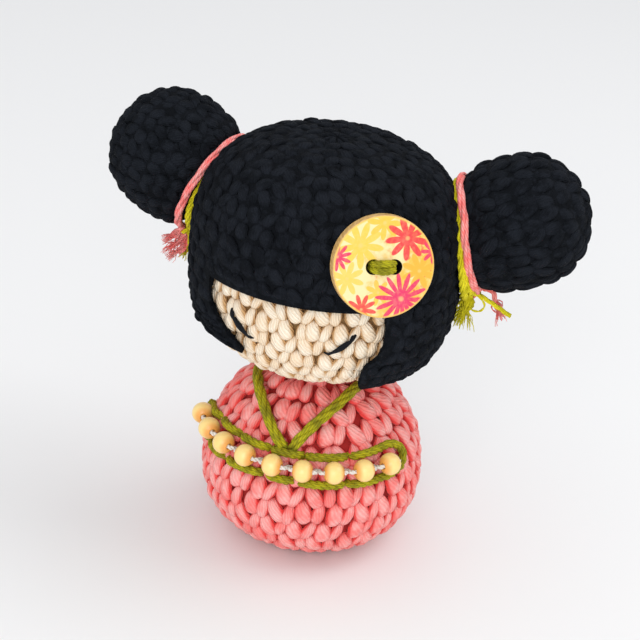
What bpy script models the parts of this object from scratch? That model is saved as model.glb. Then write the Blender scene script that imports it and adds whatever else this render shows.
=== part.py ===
"""A crocheted doll: stuffed body and head, hair cap, two tied buns, a button and a beaded sash.

The doll stands on the floor at z = 0, on the Z axis, and faces -Y. Left and right are as seen
from the front, so the right side is at +X. All sizes are in metres.
"""

import math

import bmesh
import bpy
from mathutils import Matrix, Vector

# Fabric and fits
FABRIC = 0.0022
CLEARANCE = 0.0003
SEAM_YARN = 0.0009
SEAM_ROOM = SEAM_YARN + 2 * CLEARANCE
CUT_OVERRUN = 0.004

# Body: a dome over a shallow bowl, with a short neck
BODY_RADIUS = 0.0241
BODY_DOME = 0.025
BODY_BOWL = 0.0178
BOWL_POWER = 2.45
BASE_CUT = 0.0005
NECK_RADIUS = 0.0095
NECK_LENGTH = 0.0028

BODY_EQUATOR = BODY_BOWL - BASE_CUT
NECK_FOOT = BODY_EQUATOR + BODY_DOME * math.sqrt(1 - (NECK_RADIUS / BODY_RADIUS) ** 2)
NECK_TOP = NECK_FOOT + NECK_LENGTH
NECK_BORE = NECK_RADIUS - FABRIC

# Rounds of crochet, which stand out as ridges with a groove between each two
BODY_ROW = 0.00445
HAIR_ROW = 0.0035
ROW_GROOVE = 0.0009

# Head: a rounded box, set a little forward on the neck
HEAD_HALF_WIDTH = 0.029
HEAD_HALF_DEPTH = 0.0269
HEAD_HALF_HEIGHT = 0.0267
HEAD_POWER = 2.8
HEAD_FORWARD = 0.004
HEAD_SEAT_CUT = 0.001

FACE_LAYER = FABRIC + CLEARANCE
HEAD_SEAT = NECK_TOP + SEAM_ROOM
HEAD_CENTRE = Vector((0, -HEAD_FORWARD, HEAD_SEAT - HEAD_SEAT_CUT + HEAD_HALF_HEIGHT - FACE_LAYER))

# Hair cap: where it is cut away for the face and where it ends, measured from the head's centre
FACE_HALF_WIDTH = 0.018
FRINGE_DROP = 0.0003
CHEEK_DROP = 0.0093
CHIN_HALF_WIDTH = 0.0115
CHIN_DROP = 0.0178
RIM_DROP = 0.0218
HAIR_WALL = 0.0019

# Eyes: sewn arcs, measured from the middle of the head
EYE_THREAD = 0.0011
EYE_OUTER_X = 0.0131
EYE_OUTER_DROP = 0.0058
EYE_INNER_X = 0.0073
EYE_INNER_DROP = 0.0098
EYE_SAG = 0.0009

# Buns
BUN_RADIUS = 0.0142
BUN_HALF_LENGTH = 0.0132
BUN_NECK_RADIUS = 0.0088
BUN_SEAT_BACK = 0.0085
BUN_SEAT_RISE = 0.007
BUN_STANDOFF = 0.0131
BUN_SWEEP_DEG = 10
BUN_LIFT_DEG = 23
BUN_ROOT = 0.009

# Yarn ties in the crease between a bun and the head
OLIVE_TIE = 0.0013
PINK_TIE = 0.0014
TIE_SELF_GAP = 0.0005
TIE_HEAD_GAP = 0.0012
TIE_KNOT_DEG = -70
OLIVE_TURNS = 2
OLIVE_TAIL = 0.010
PINK_TAIL = 0.008
PINK_OPENING_DEG = 13
ROW_CHANGE_TURNS = 0.6
FAN_START_SHARE = 0.95
FAN_PER_TURN_SHARE = 0.2
PINK_FAN_SHARE = 0.1
OLIVE_TAIL_LEAN_SHARE = -0.15
PINK_TAIL_LEAN_SHARE = 0.12

# Button and its yarn
BUTTON_RADIUS = 0.010
BUTTON_THICKNESS = 0.0032
BUTTON_EDGE = 0.0005
BUTTON_HOLE_RADIUS = 0.00145
BUTTON_HOLE_REACH = 0.0021
BUTTON_SIDE = 0.0163
BUTTON_RISE = 0.0104
BUTTON_TURN_DEG = 28
BUTTON_TILT_DEG = 15
BUTTON_YARN = 0.0016

# Beads on their threads, in one row inside the sash
BEAD_COUNT = 9
BEAD_RADIUS = 0.0024
BEAD_LENGTH = 0.0042
BEAD_BORE = 0.0006
BEAD_FACE_RADIUS = 0.0013
BEAD_SPACING = 0.0024
BEAD_THREAD = 0.0007
BEAD_ROW_RISE = 0.0095

# Sash and collar, of olive yarn
SASH_YARN = 0.0015
SASH_TURN_DEG = -4.5
SASH_STITCHES = 6
SASH_BOW = 0.0002
SASH_END_ROOM = 0.0015
COLLAR_YARN = 0.0019
COLLAR_POINT_RISE = 0.0132
COLLAR_LEFT_SPREAD = 0.0118
COLLAR_LEFT_HEIGHT = 0.0077
COLLAR_RIGHT_SPREAD = 0.009
COLLAR_RIGHT_HEIGHT = 0.0089
COLLAR_SPLIT = 0.0011

# Facets
BODY_STEPS = 24
BODY_RINGS = 7
SIDE_STEPS = 80
HEAD_STEPS = 28
HAIR_STEPS = 24
HAIR_LINING_RINGS = 10
CROWN_STEPS = 64
FILL_STEPS = 16
BUN_STEPS = 20
BEAD_STEPS = 14
BUTTON_STEPS = 32
LOOP_POINTS = 24
STITCH_POINTS = 4
STRAND_RESOLUTION = 1
MERGE = 0.00001


def clear_scene():
    for item in list(bpy.data.objects):
        bpy.data.objects.remove(item, do_unlink=True)


def new_collection(name):
    collection = bpy.data.collections.new(name)
    bpy.context.scene.collection.children.link(collection)
    return collection


def finish(item, colour, roughness):
    """Give a piece its own material."""
    material = bpy.data.materials.new(item.name)
    material.use_nodes = True
    shader = material.node_tree.nodes["Principled BSDF"]
    shader.inputs["Base Color"].default_value = (*colour, 1)
    shader.inputs["Roughness"].default_value = roughness
    shader.inputs["Metallic"].default_value = 0
    item.data.materials.append(material)
    return item


PINK = (0.90, 0.24, 0.27)
CREAM = (0.93, 0.78, 0.58)
BLACK = (0.012, 0.014, 0.02)
OLIVE = (0.32, 0.29, 0.02)
WHITE = (0.86, 0.85, 0.82)
FIBRE = (0.90, 0.90, 0.88)
WOOD = (0.95, 0.72, 0.36)
PRINT = (0.93, 0.80, 0.38)
YARN_ROUGHNESS = 0.85
THREAD_ROUGHNESS = 0.6
WOOD_ROUGHNESS = 0.4


class Shop:
    """Holds the two collections and makes the kinds of solid that the doll needs."""

    def __init__(self):
        self.parts = new_collection("amigurumi_doll")
        self.cutters = new_collection("cutters")

    def link(self, item, is_cutter):
        (self.cutters if is_cutter else self.parts).objects.link(item)
        if is_cutter:
            item.hide_render = True
            item.display_type = "WIRE"
        return item

    def pivot(self, name, place, parent=None):
        """An empty on a joint's axis, which carries what moves with it."""
        empty = bpy.data.objects.new(name, None)
        empty.location = place
        self.parts.objects.link(empty)
        if parent:
            hang(empty, parent)
        return empty

    def from_bmesh(self, name, shape, is_cutter=False):
        mesh = bpy.data.meshes.new(name)
        shape.to_mesh(mesh)
        shape.free()
        mesh.shade_smooth()
        return self.link(bpy.data.objects.new(name, mesh), is_cutter)

    def turned(self, name, profile, steps, closed=False, is_cutter=False):
        """Turn a profile of (radius, height) points, listed top to bottom, about Z."""
        shape = bmesh.new()
        points = [shape.verts.new((radius, 0, height)) for radius, height in profile]
        for first, second in zip(points, points[1:]):
            shape.edges.new((first, second))
        if closed:
            shape.edges.new((points[-1], points[0]))
        item = self.from_bmesh(name, shape, is_cutter)
        screw = item.modifiers.new("Turn", "SCREW")
        screw.steps = steps
        screw.render_steps = steps
        screw.use_merge_vertices = True
        screw.merge_threshold = MERGE
        screw.use_smooth_shade = True
        return item

    def strand(self, name, route, yarn, looped=False):
        """Lay yarn or thread along a route."""
        curve = bpy.data.curves.new(name, "CURVE")
        curve.dimensions = "3D"
        curve.bevel_depth = yarn / 2
        curve.bevel_resolution = STRAND_RESOLUTION
        curve.render_resolution_u = 0
        curve.use_fill_caps = not looped
        spline = curve.splines.new("POLY")
        spline.points.add(len(route) - 1)
        for point, place in zip(spline.points, route):
            point.co = (*place, 1)
        spline.use_cyclic_u = looped
        return self.link(bpy.data.objects.new(name, curve), False)

    def head_layer(self, name, depth, is_cutter=False, steps=HEAD_STEPS):
        """A closed solid of the head's shape, drawn in by a depth."""
        return self.from_bmesh(name, head_shape(depth, steps), is_cutter)


def hang(item, pivot):
    """Carry a piece with a pivot, and leave it where it is."""
    item.parent = pivot
    item.matrix_parent_inverse = Matrix.Translation(-pivot.location)
    return item


def wall_in(item):
    """Give an outer surface the fabric's thickness, inwards."""
    wall = item.modifiers.new("Fabric", "SOLIDIFY")
    wall.thickness = FABRIC
    wall.offset = -1
    wall.use_even_offset = True


def cut(item, cutter):
    boolean = item.modifiers.new("Cut", "BOOLEAN")
    boolean.operation = "DIFFERENCE"
    boolean.object = cutter


def ridged(side, row):
    """Points up a side of (radius, height) points: a crest on each row and a groove between two."""
    along = [0]
    for first, second in zip(side, side[1:]):
        along.append(along[-1] + math.dist(first, second))
    halves = 2 * round(along[-1] / row)
    points = [side[0]]
    for half in range(1, halves):
        reach = along[-1] * half / halves
        index = next(each for each, length in enumerate(along) if length > reach)
        (radius, height), (end_radius, end_height) = side[index - 1], side[index]
        length = along[index] - along[index - 1]
        share = (reach - along[index - 1]) / length
        inset = 0 if half % 2 else ROW_GROOVE / length
        points.append((radius + (end_radius - radius) * share - (end_height - height) * inset,
                       height + (end_height - height) * share + (end_radius - radius) * inset))
    return points + [side[-1]]


def mirrored(place, side):
    return Vector((side * place.x, place.y, place.z))


def bisect(inside, low, high):
    """The distance between low and high at which inside turns true."""
    for _ in range(40):
        middle = (low + high) / 2
        if inside(middle):
            high = middle
        else:
            low = middle
    return high


# The body's outer surface


def body_radius(height, depth=0):
    """The body's radius at a height, drawn in by a depth."""
    rise = height - BODY_EQUATOR
    radius = BODY_RADIUS - depth
    if rise > 0:
        share = 1 - min(rise / (BODY_DOME - depth), 1) ** 2
        return max(radius * math.sqrt(share), NECK_RADIUS - depth)
    share = 1 - min(-rise / (BODY_BOWL - depth), 1) ** BOWL_POWER
    return radius * share ** (1 / BOWL_POWER)


def body_profile(depth, base):
    """Points (radius, height) from the neck's top down to the base's middle."""
    points = [(NECK_RADIUS - depth, NECK_TOP)]
    neck_angle = math.acos(min((NECK_RADIUS - depth) / (BODY_RADIUS - depth), 1))
    for ring in range(BODY_RINGS + 1):
        angle = neck_angle * (1 - ring / BODY_RINGS)
        points.append(((BODY_RADIUS - depth) * math.cos(angle),
                       BODY_EQUATOR + (BODY_DOME - depth) * math.sin(angle)))
    base_angle = math.asin(min((BODY_EQUATOR - base) / (BODY_BOWL - depth), 1))
    for ring in range(1, BODY_RINGS + 1):
        angle = base_angle * ring / BODY_RINGS
        height = BODY_EQUATOR - (BODY_BOWL - depth) * math.sin(angle)
        points.append((body_radius(height, depth), height))
    return points + [(0, base)]


def body_side():
    """Points (radius, height) up the body's outer side, from its flat base to its neck."""
    low = math.asin(BODY_EQUATOR / BODY_BOWL)
    high = math.acos(NECK_RADIUS / BODY_RADIUS)
    points = []
    for step in range(SIDE_STEPS + 1):
        angle = (low + high) * step / SIDE_STEPS - low
        height = BODY_EQUATOR + (BODY_DOME if angle > 0 else BODY_BOWL) * math.sin(angle)
        points.append((body_radius(height), max(height, 0)))
    return points


def body_slope(height):
    """How fast the body's radius grows with height."""
    return (body_radius(height + CLEARANCE) - body_radius(height - CLEARANCE)) / (2 * CLEARANCE)


def on_body(azimuth, height, offset):
    """A place over the body's surface. Azimuth 0 is the front, and it grows towards +X."""
    slope = body_slope(height)
    out = offset / math.hypot(1, slope)
    reach = body_radius(height) + out
    return Vector((reach * math.sin(azimuth), -reach * math.cos(azimuth), height - slope * out))


# The head's outer surface


def head_axes(depth):
    return HEAD_HALF_WIDTH - depth, HEAD_HALF_DEPTH - depth, HEAD_HALF_HEIGHT - depth


def head_level(place, depth):
    """Below 1 inside the head's shape, and above 1 outside it."""
    width, length, height = head_axes(depth)
    flat = math.hypot(place.x / width, place.y / length)
    return flat ** HEAD_POWER + abs(place.z / height) ** HEAD_POWER


def head_point(direction, depth):
    """Where a ray from the head's centre meets its shape."""
    return HEAD_CENTRE + direction * head_level(direction, depth) ** (-1 / HEAD_POWER)


def head_normal(place, depth):
    """The way out of the head's shape at a place."""
    width, length, height = head_axes(depth)
    way = place - HEAD_CENTRE
    flat = math.hypot(way.x / width, way.y / length) ** (HEAD_POWER - 2)
    rise = math.copysign(abs(way.z / height) ** (HEAD_POWER - 1), way.z) / height
    return Vector((flat * way.x / width ** 2, flat * way.y / length ** 2, rise)).normalized()


def head_front(side, rise, depth):
    """The place on the head's front at a distance to the side and up from its centre."""
    width, length, height = head_axes(depth)
    flat = (1 - abs(rise / height) ** HEAD_POWER) ** (1 / HEAD_POWER)
    return HEAD_CENTRE + Vector((side, -length * math.sqrt(flat ** 2 - (side / width) ** 2), rise))


def over_head(place, depth, offset):
    return place + head_normal(place, depth) * offset


def fall_to_head(place, way):
    """How far a place has to go along a way to meet the hair."""
    reach = HEAD_HALF_WIDTH + BUN_STANDOFF
    return bisect(lambda far: head_level(place + way * far - HEAD_CENTRE, 0) < 1, 0, reach)


def head_radius(height, depth):
    """How far the head's shape reaches to the side at a height from its centre."""
    width, _, top = head_axes(depth)
    return width * (1 - min(abs(height) / top, 1) ** HEAD_POWER) ** (1 / HEAD_POWER)


def head_side(depth, low, high, steps):
    """Points (radius, height) up the head's side between two heights from its centre."""
    top = head_axes(depth)[2]
    first, last = (math.asin(height / top) for height in (low, high))
    points = []
    for step in range(steps + 1):
        height = top * math.sin(first + (last - first) * step / steps)
        points.append((head_radius(height, depth), height))
    return points


def ringed(rings, steps):
    """A closed shape through rings of (width, length, height), of which the ends have no width."""
    shape = bmesh.new()
    rows = []
    for width, length, height in rings:
        angles = [math.tau * step / steps for step in range(steps if width > MERGE else 1)]
        rows.append([shape.verts.new(HEAD_CENTRE + Vector((width * math.cos(angle), length * math.sin(angle), height)))
                     for angle in angles])
    for lower, upper in zip(rows, rows[1:]):
        for step in range(steps):
            after = (step + 1) % steps
            corners = (lower[step % len(lower)], lower[after % len(lower)], upper[after % len(upper)],
                       upper[step % len(upper)])
            shape.faces.new(tuple(dict.fromkeys(corners)))
    return shape


def head_shape(depth, steps):
    """A sphere drawn out to the head's shape."""
    shape = bmesh.new()
    bmesh.ops.create_uvsphere(shape, u_segments=steps, v_segments=steps // 2, radius=1)
    for corner in shape.verts:
        corner.co = head_point(corner.co, depth)
    return shape


# Body and neck


def make_body(shop):
    lining = body_profile(FABRIC, FABRIC)[::-1]
    outside = [(NECK_RADIUS, NECK_TOP)] + ridged(body_side(), BODY_ROW)[::-1] + [(0, 0)]
    finish(shop.turned("body_cover", lining + outside, BODY_STEPS), PINK, YARN_ROUGHNESS)

    inset = FABRIC + CLEARANCE
    filling = [(0, NECK_TOP)] + body_profile(inset, inset)
    finish(shop.turned("body_stuffing", filling, FILL_STEPS), FIBRE, YARN_ROUGHNESS)

    middle = NECK_RADIUS - FABRIC / 2
    height = NECK_TOP + SEAM_ROOM / 2
    ring = []
    for step in range(LOOP_POINTS):
        angle = math.tau * step / LOOP_POINTS
        ring.append(Vector((middle * math.cos(angle), middle * math.sin(angle), height)))
    finish(shop.strand("neck_seam", ring, SEAM_YARN, looped=True), PINK, YARN_ROUGHNESS)


def make_collar(shop):
    """Two straight stitches that cross the chest in a V, as seen from the front."""
    offset = CLEARANCE + COLLAR_YARN / 2
    point_height = BODY_EQUATOR + COLLAR_POINT_RISE
    steps = 7
    for side, name, spread, rise in ((-1, "left_collar_stitch", COLLAR_LEFT_SPREAD, COLLAR_LEFT_HEIGHT),
                                     (1, "right_collar_stitch", COLLAR_RIGHT_SPREAD, COLLAR_RIGHT_HEIGHT)):
        route = []
        for step in range(steps + 1):
            across = COLLAR_SPLIT + (spread - COLLAR_SPLIT) * step / steps
            height = point_height + rise * across / spread
            azimuth = side * math.asin(across / body_radius(height))
            route.append(on_body(azimuth, height, offset))
        finish(shop.strand(name, route, COLLAR_YARN), OLIVE, YARN_ROUGHNESS)


# Beads and sash


def bead_foot():
    return BODY_EQUATOR + BEAD_ROW_RISE


def bead_azimuth(index):
    row = on_body(0, bead_foot(), CLEARANCE + BEAD_RADIUS)
    step = (BEAD_LENGTH + BEAD_SPACING) / math.hypot(row.x, row.y)
    return math.radians(SASH_TURN_DEG) + (index - (BEAD_COUNT - 1) / 2) * step


def along_row(azimuth):
    """The way along the row of beads, level and towards the right."""
    return Vector((math.cos(azimuth), math.sin(azimuth), 0))


def make_beads(shop):
    """Rounded wooden beads, each turned about its own hole."""
    half = BEAD_LENGTH / 2
    profile = [(BEAD_BORE, half)]
    steps = 4
    for step in range(steps + 1):
        share = 1 - 2 * step / steps
        bulge = (BEAD_RADIUS - BEAD_FACE_RADIUS) * math.sqrt(1 - share ** 2)
        profile.append((BEAD_FACE_RADIUS + bulge, half * share))
    profile.append((BEAD_BORE, -half))
    route = []
    for index in range(BEAD_COUNT):
        azimuth = bead_azimuth(index)
        middle = on_body(azimuth, bead_foot(), CLEARANCE + BEAD_RADIUS)
        bead = shop.turned(f"bead_{index + 1}", profile, BEAD_STEPS, closed=True)
        bead.location = middle
        bead.rotation_euler = along_row(azimuth).to_track_quat("Z", "Y").to_euler()
        finish(bead, WOOD, WOOD_ROUGHNESS)
        route += bead_thread_stretch(azimuth, middle)
    finish(shop.strand("bead_thread", route, BEAD_THREAD), WHITE, THREAD_ROUGHNESS)


def bead_thread_stretch(azimuth, middle):
    """From the fabric up, through one bead, and down to the fabric again."""
    along = along_row(azimuth)
    foot = on_body(azimuth, bead_foot(), CLEARANCE + BEAD_THREAD / 2)
    turn = BEAD_LENGTH / 2 + CLEARANCE + BEAD_THREAD / 2
    tuck = turn - CLEARANCE
    return [foot - along * tuck, middle - along * turn, middle + along * turn, foot + along * tuck]


def sash_row_step():
    """How far a strand lies above or below the middle of the row of beads."""
    apart = BEAD_RADIUS + SASH_YARN / 2 + CLEARANCE
    return math.sqrt(apart ** 2 - (BEAD_RADIUS - SASH_YARN / 2) ** 2)


def make_sash(shop):
    """One yarn in back stitches above and below the beads, with a loop at each end."""
    foot = bead_foot()
    row_step = sash_row_step() / math.hypot(1, body_slope(foot))
    middle = math.radians(SASH_TURN_DEG)
    row = on_body(0, foot, CLEARANCE + BEAD_RADIUS)
    half_span = bead_azimuth(BEAD_COUNT - 1) - middle + SASH_END_ROOM / math.hypot(row.x, row.y)
    route = []
    for side in (1, -1):
        route += stitch_row(middle, half_span, side, foot + side * row_step)
        route += end_loop(middle + side * half_span, side, foot, row_step)
    finish(shop.strand("sash_yarn", route, SASH_YARN, looped=True), OLIVE, YARN_ROUGHNESS)


def stitch_row(middle, half_span, side, height):
    """A row of stitches, each standing up a little between the places where it dips."""
    steps = SASH_STITCHES * STITCH_POINTS
    route = []
    for step in range(1, steps):
        azimuth = middle + side * half_span * (2 * step / steps - 1)
        bow = SASH_BOW * abs(math.sin(math.pi * step / STITCH_POINTS))
        route.append(on_body(azimuth, height, CLEARANCE + SASH_YARN / 2 + bow))
    return route


def end_loop(azimuth, side, foot, row_step):
    """The half loop that closes the sash beside its last bead."""
    steps = 8
    route = []
    for step in range(steps + 1):
        angle = math.pi * (1 / 2 - step / steps)
        height = foot + side * row_step * math.sin(angle)
        sweep = row_step * math.cos(angle) / body_radius(height)
        route.append(on_body(azimuth + side * sweep, height, CLEARANCE + SASH_YARN / 2))
    return route


# Head, hair and eyes


def make_head(shop, neck):
    cover = shop.head_layer("head_cover", FACE_LAYER)
    hollow = shop.head_layer("head_hollow", FACE_LAYER + FABRIC, is_cutter=True)
    cut(cover, hollow)

    below = HEAD_HALF_WIDTH + CUT_OVERRUN
    seat = bmesh.new()
    bmesh.ops.create_cube(seat, size=2)
    bmesh.ops.scale(seat, vec=(below, below, below), verts=seat.verts)
    bmesh.ops.translate(seat, vec=(0, -HEAD_FORWARD, HEAD_SEAT - below), verts=seat.verts)
    cut(cover, shop.from_bmesh("head_seat", seat, is_cutter=True))

    bore = bmesh.new()
    bmesh.ops.create_cone(bore, cap_ends=True, segments=HEAD_STEPS, radius1=NECK_BORE,
                          radius2=NECK_BORE, depth=HEAD_HALF_HEIGHT)
    bmesh.ops.translate(bore, vec=(0, 0, HEAD_SEAT), verts=bore.verts)
    cut(cover, shop.from_bmesh("head_bore", bore, is_cutter=True))
    hang(finish(cover, CREAM, YARN_ROUGHNESS), neck)

    stuffing = shop.head_layer("head_stuffing", FACE_LAYER + FABRIC + CLEARANCE)
    hang(finish(stuffing, FIBRE, YARN_ROUGHNESS), neck)


def face_outline():
    """Half of the opening for the face, from the fringe down to below the rim, at +X."""
    points = [(FACE_HALF_WIDTH, -FRINGE_DROP)]
    steps = 5
    for step in range(steps + 1):
        angle = math.pi / 2 * step / steps
        points.append((CHIN_HALF_WIDTH + (FACE_HALF_WIDTH - CHIN_HALF_WIDTH) * math.cos(angle),
                       -CHEEK_DROP - (CHIN_DROP - CHEEK_DROP) * math.sin(angle)))
    points.append((CHIN_HALF_WIDTH, -RIM_DROP - CUT_OVERRUN))
    return points


def make_hair(shop, neck):
    rings = []
    lining = head_side(HAIR_WALL, -RIM_DROP, HEAD_HALF_HEIGHT - HAIR_WALL, HAIR_LINING_RINGS)[::-1]
    below = ridged(head_side(0, -RIM_DROP, -FRINGE_DROP, SIDE_STEPS), HAIR_ROW)
    above = ridged(head_side(0, -FRINGE_DROP, HEAD_HALF_HEIGHT, SIDE_STEPS), HAIR_ROW)
    fringe_radius, fringe_height = above[0]
    outside = below[:-1] + [(fringe_radius - ROW_GROOVE, fringe_height)] + above[1:]
    for side, depth in ((lining, HAIR_WALL), (outside, 0)):
        width, length, _ = head_axes(depth)
        rings += [(radius, radius * length / width, height) for radius, height in side]
    cap = shop.from_bmesh("hair_cap", ringed(rings, HAIR_STEPS))

    half = face_outline()
    outline = half + [(-across, up) for across, up in reversed(half)]
    back = Vector((0, -HEAD_HALF_DEPTH / 4, 0))
    window = bmesh.new()
    face = window.faces.new([window.verts.new(HEAD_CENTRE + back + Vector((across, 0, up)))
                             for across, up in outline])
    swept = bmesh.ops.extrude_face_region(window, geom=[face])
    front = [part for part in swept["geom"] if isinstance(part, bmesh.types.BMVert)]
    bmesh.ops.translate(window, vec=(0, -HEAD_HALF_DEPTH - CUT_OVERRUN, 0), verts=front)
    bmesh.ops.recalc_face_normals(window, faces=window.faces)
    cut(cap, shop.from_bmesh("face_opening", window, is_cutter=True))
    hang(finish(cap, BLACK, YARN_ROUGHNESS), neck)


def make_eyes(shop, neck):
    steps = 6
    for side, name in ((-1, "left_eye_stitch"), (1, "right_eye_stitch")):
        route = []
        for step in range(steps + 1):
            share = step / steps
            across = EYE_OUTER_X + (EYE_INNER_X - EYE_OUTER_X) * share
            drop = EYE_OUTER_DROP + (EYE_INNER_DROP - EYE_OUTER_DROP) * share
            drop += EYE_SAG * math.sin(math.pi * share)
            place = head_front(side * across, -drop, FACE_LAYER)
            route.append(over_head(place, FACE_LAYER, CLEARANCE + EYE_THREAD / 2))
        hang(finish(shop.strand(name, route, EYE_THREAD), BLACK, THREAD_ROUGHNESS), neck)


# Button


def button_frame():
    """The button's back middle, its facing and the way from hole to hole."""
    turn = math.radians(BUTTON_TURN_DEG)
    tilt = math.radians(BUTTON_TILT_DEG)
    facing = Vector((math.sin(turn) * math.cos(tilt), -math.cos(turn) * math.cos(tilt), math.sin(tilt)))
    across = Vector((math.cos(turn), math.sin(turn), 0))
    place = head_front(BUTTON_SIDE, BUTTON_RISE, 0)
    highest = head_support(facing)
    return place + facing * (highest - place.dot(facing) + CLEARANCE), facing, across


def head_support(facing):
    """How far the hair reaches along a facing."""
    width, length, height = head_axes(0)
    power = HEAD_POWER / (HEAD_POWER - 1)
    flat = math.hypot(facing.x * width, facing.y * length)
    reach = (flat ** power + abs(facing.z * height) ** power) ** (1 / power)
    return HEAD_CENTRE.dot(facing) + reach


def make_button(shop, neck):
    back, facing, across = button_frame()
    turn = Matrix((across, facing.cross(across), facing)).transposed().to_euler()
    disc = bmesh.new()
    bmesh.ops.create_cone(disc, cap_ends=True, segments=BUTTON_STEPS, radius1=BUTTON_RADIUS,
                          radius2=BUTTON_RADIUS, depth=BUTTON_THICKNESS)
    button = shop.from_bmesh("wooden_button", disc)
    button.location = back + facing * (BUTTON_THICKNESS / 2)
    button.rotation_euler = turn
    edge = button.modifiers.new("Edge", "BEVEL")
    edge.width = BUTTON_EDGE
    edge.segments = 2
    edge.limit_method = "ANGLE"
    for side, name in ((-1, "button_hole_a"), (1, "button_hole_b")):
        hole = bmesh.new()
        bmesh.ops.create_cone(hole, cap_ends=True, segments=BEAD_STEPS, radius1=BUTTON_HOLE_RADIUS,
                              radius2=BUTTON_HOLE_RADIUS, depth=BUTTON_THICKNESS + CUT_OVERRUN)
        cutter = shop.from_bmesh(name, hole, is_cutter=True)
        cutter.location = button.location + across * (side * BUTTON_HOLE_REACH)
        cutter.rotation_euler = turn
        cut(button, cutter)
    hang(finish(button, PRINT, WOOD_ROUGHNESS), neck)

    over = BUTTON_THICKNESS + CLEARANCE + BUTTON_YARN / 2
    legs = []
    for side in (-1, 1):
        foot = back + across * (side * BUTTON_HOLE_REACH)
        low = fall_to_head(foot, -facing) - CLEARANCE - BUTTON_YARN / 2
        knee = foot + facing * (over - BUTTON_YARN / 2)
        legs.append([foot - facing * low, knee, foot + facing * over - across * (side * BUTTON_YARN / 2)])
    route = legs[0] + legs[1][::-1]
    hang(finish(shop.strand("button_yarn", route, BUTTON_YARN), OLIVE, YARN_ROUGHNESS), neck)


# Buns and ties, worked out for the bun at +X and mirrored for the other


class Bun:
    def __init__(self):
        sweep = math.radians(BUN_SWEEP_DEG)
        lift = math.radians(BUN_LIFT_DEG)
        level = Vector((math.cos(sweep), math.sin(sweep), 0))
        self.axis = level * math.cos(lift) + Vector((0, 0, math.sin(lift)))
        self.front = self.axis.cross(Vector((0, 0, 1))).normalized()
        self.up = self.front.cross(self.axis)
        width, length, height = head_axes(0)
        flat = (1 - abs(BUN_SEAT_RISE / height) ** HEAD_POWER) ** (1 / HEAD_POWER)
        side = width * math.sqrt(flat ** 2 - (BUN_SEAT_BACK / length) ** 2)
        self.seat = HEAD_CENTRE + Vector((side, BUN_SEAT_BACK, BUN_SEAT_RISE))
        self.middle = self.seat + self.axis * BUN_STANDOFF
        self.tie_radius = BUN_NECK_RADIUS + CLEARANCE + OLIVE_TIE / 2
        self.steps = [math.tau * step / LOOP_POINTS for step in range(LOOP_POINTS)]
        self.narrow = min(self.depth(self.tie_radius, angle) for angle in self.steps)
        self.head_row = self.narrow - TIE_HEAD_GAP - OLIVE_TIE / 2
        self.row_step = OLIVE_TIE + TIE_SELF_GAP
        self.shoulder = self.head_row - self.row_step - OLIVE_TIE / 2 - CLEARANCE

    def place(self, radius, angle, inward):
        """A place at a radius and angle round the axis, inward from the bun's middle."""
        ring = self.front * (radius * math.cos(angle)) + self.up * (radius * math.sin(angle))
        return self.middle + ring - self.axis * inward

    def depth(self, radius, angle):
        """How far inward the hair lies at a radius and angle."""
        return fall_to_head(self.place(radius, angle, 0), -self.axis)

    def profile(self, inset):
        """Points (radius, height) from the bun's outer end down through its neck."""
        rings = 7
        radius = BUN_RADIUS - inset
        length = BUN_HALF_LENGTH - inset
        lowest = math.asin(min((self.shoulder - inset) / length, 1))
        points = []
        for ring in range(rings + 1):
            angle = math.pi / 2 - (math.pi / 2 + lowest) * ring / rings
            points.append((max(radius * math.cos(angle), 0), length * math.sin(angle)))
        neck = BUN_NECK_RADIUS - inset
        points.append((neck, inset - self.shoulder - CLEARANCE))
        points.append((neck, -BUN_STANDOFF - BUN_ROOT))
        return points

    def olive_place(self, turn):
        """A place along the winding of olive yarn, at a number of turns from its start."""
        angle = math.radians(TIE_KNOT_DEG) + math.tau * turn
        share = min(max((turn - 1) / ROW_CHANGE_TURNS + 1 / 2, 0), 1)
        shift = self.row_step * (1 - math.cos(math.pi * share)) / 2
        room = self.depth(self.tie_radius, angle) - self.narrow
        fan = FAN_START_SHARE - FAN_PER_TURN_SHARE * turn
        return self.place(self.tie_radius, angle, self.head_row - shift + fan * room)

    def pink_place(self, share):
        """A place along the single turn of pink yarn, from its start to its end."""
        opening = math.radians(PINK_OPENING_DEG)
        angle = math.radians(TIE_KNOT_DEG) + opening + (math.tau - 2 * opening) * share
        radius = self.tie_radius + (OLIVE_TIE + PINK_TIE) / 2 + TIE_SELF_GAP
        room = self.depth(self.tie_radius, angle) - self.narrow
        inward = self.shoulder + CLEARANCE + PINK_TIE / 2 + PINK_FAN_SHARE * room
        return self.place(radius, angle, inward)

    def tail(self, end, before, yarn, length, lean):
        """The loose end of a tie, which turns out from the winding and hangs away."""
        along = (end - before).normalized()
        angle_way = end - self.middle
        out = (angle_way - self.axis * angle_way.dot(self.axis)).normalized()
        bend = yarn + CLEARANCE
        points = []
        for step in (1, 2, 3):
            angle = math.pi / 2 * step / 3
            points.append(end + along * (bend * math.sin(angle)) + out * (bend * (1 - math.cos(angle))))
        way = (out + self.axis * lean).normalized()
        for step in (1, 2, 3):
            points.append(points[2] + way * (length * step / 3))
        return points

    def wound(self, winding, yarn, length, lean):
        """A winding with a loose tail at each end."""
        first = self.tail(winding[0], winding[1], yarn, length, lean)
        last = self.tail(winding[-1], winding[-2], yarn, length, lean)
        return first[::-1] + winding + last


def least_gap(route, yarn):
    """The least gap between stretches of one strand that aren't neighbours along it."""
    apart = 6
    gaps = [(first - second).length - yarn
            for index, first in enumerate(route) for second in route[index + apart:]]
    return min(gaps)


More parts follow.
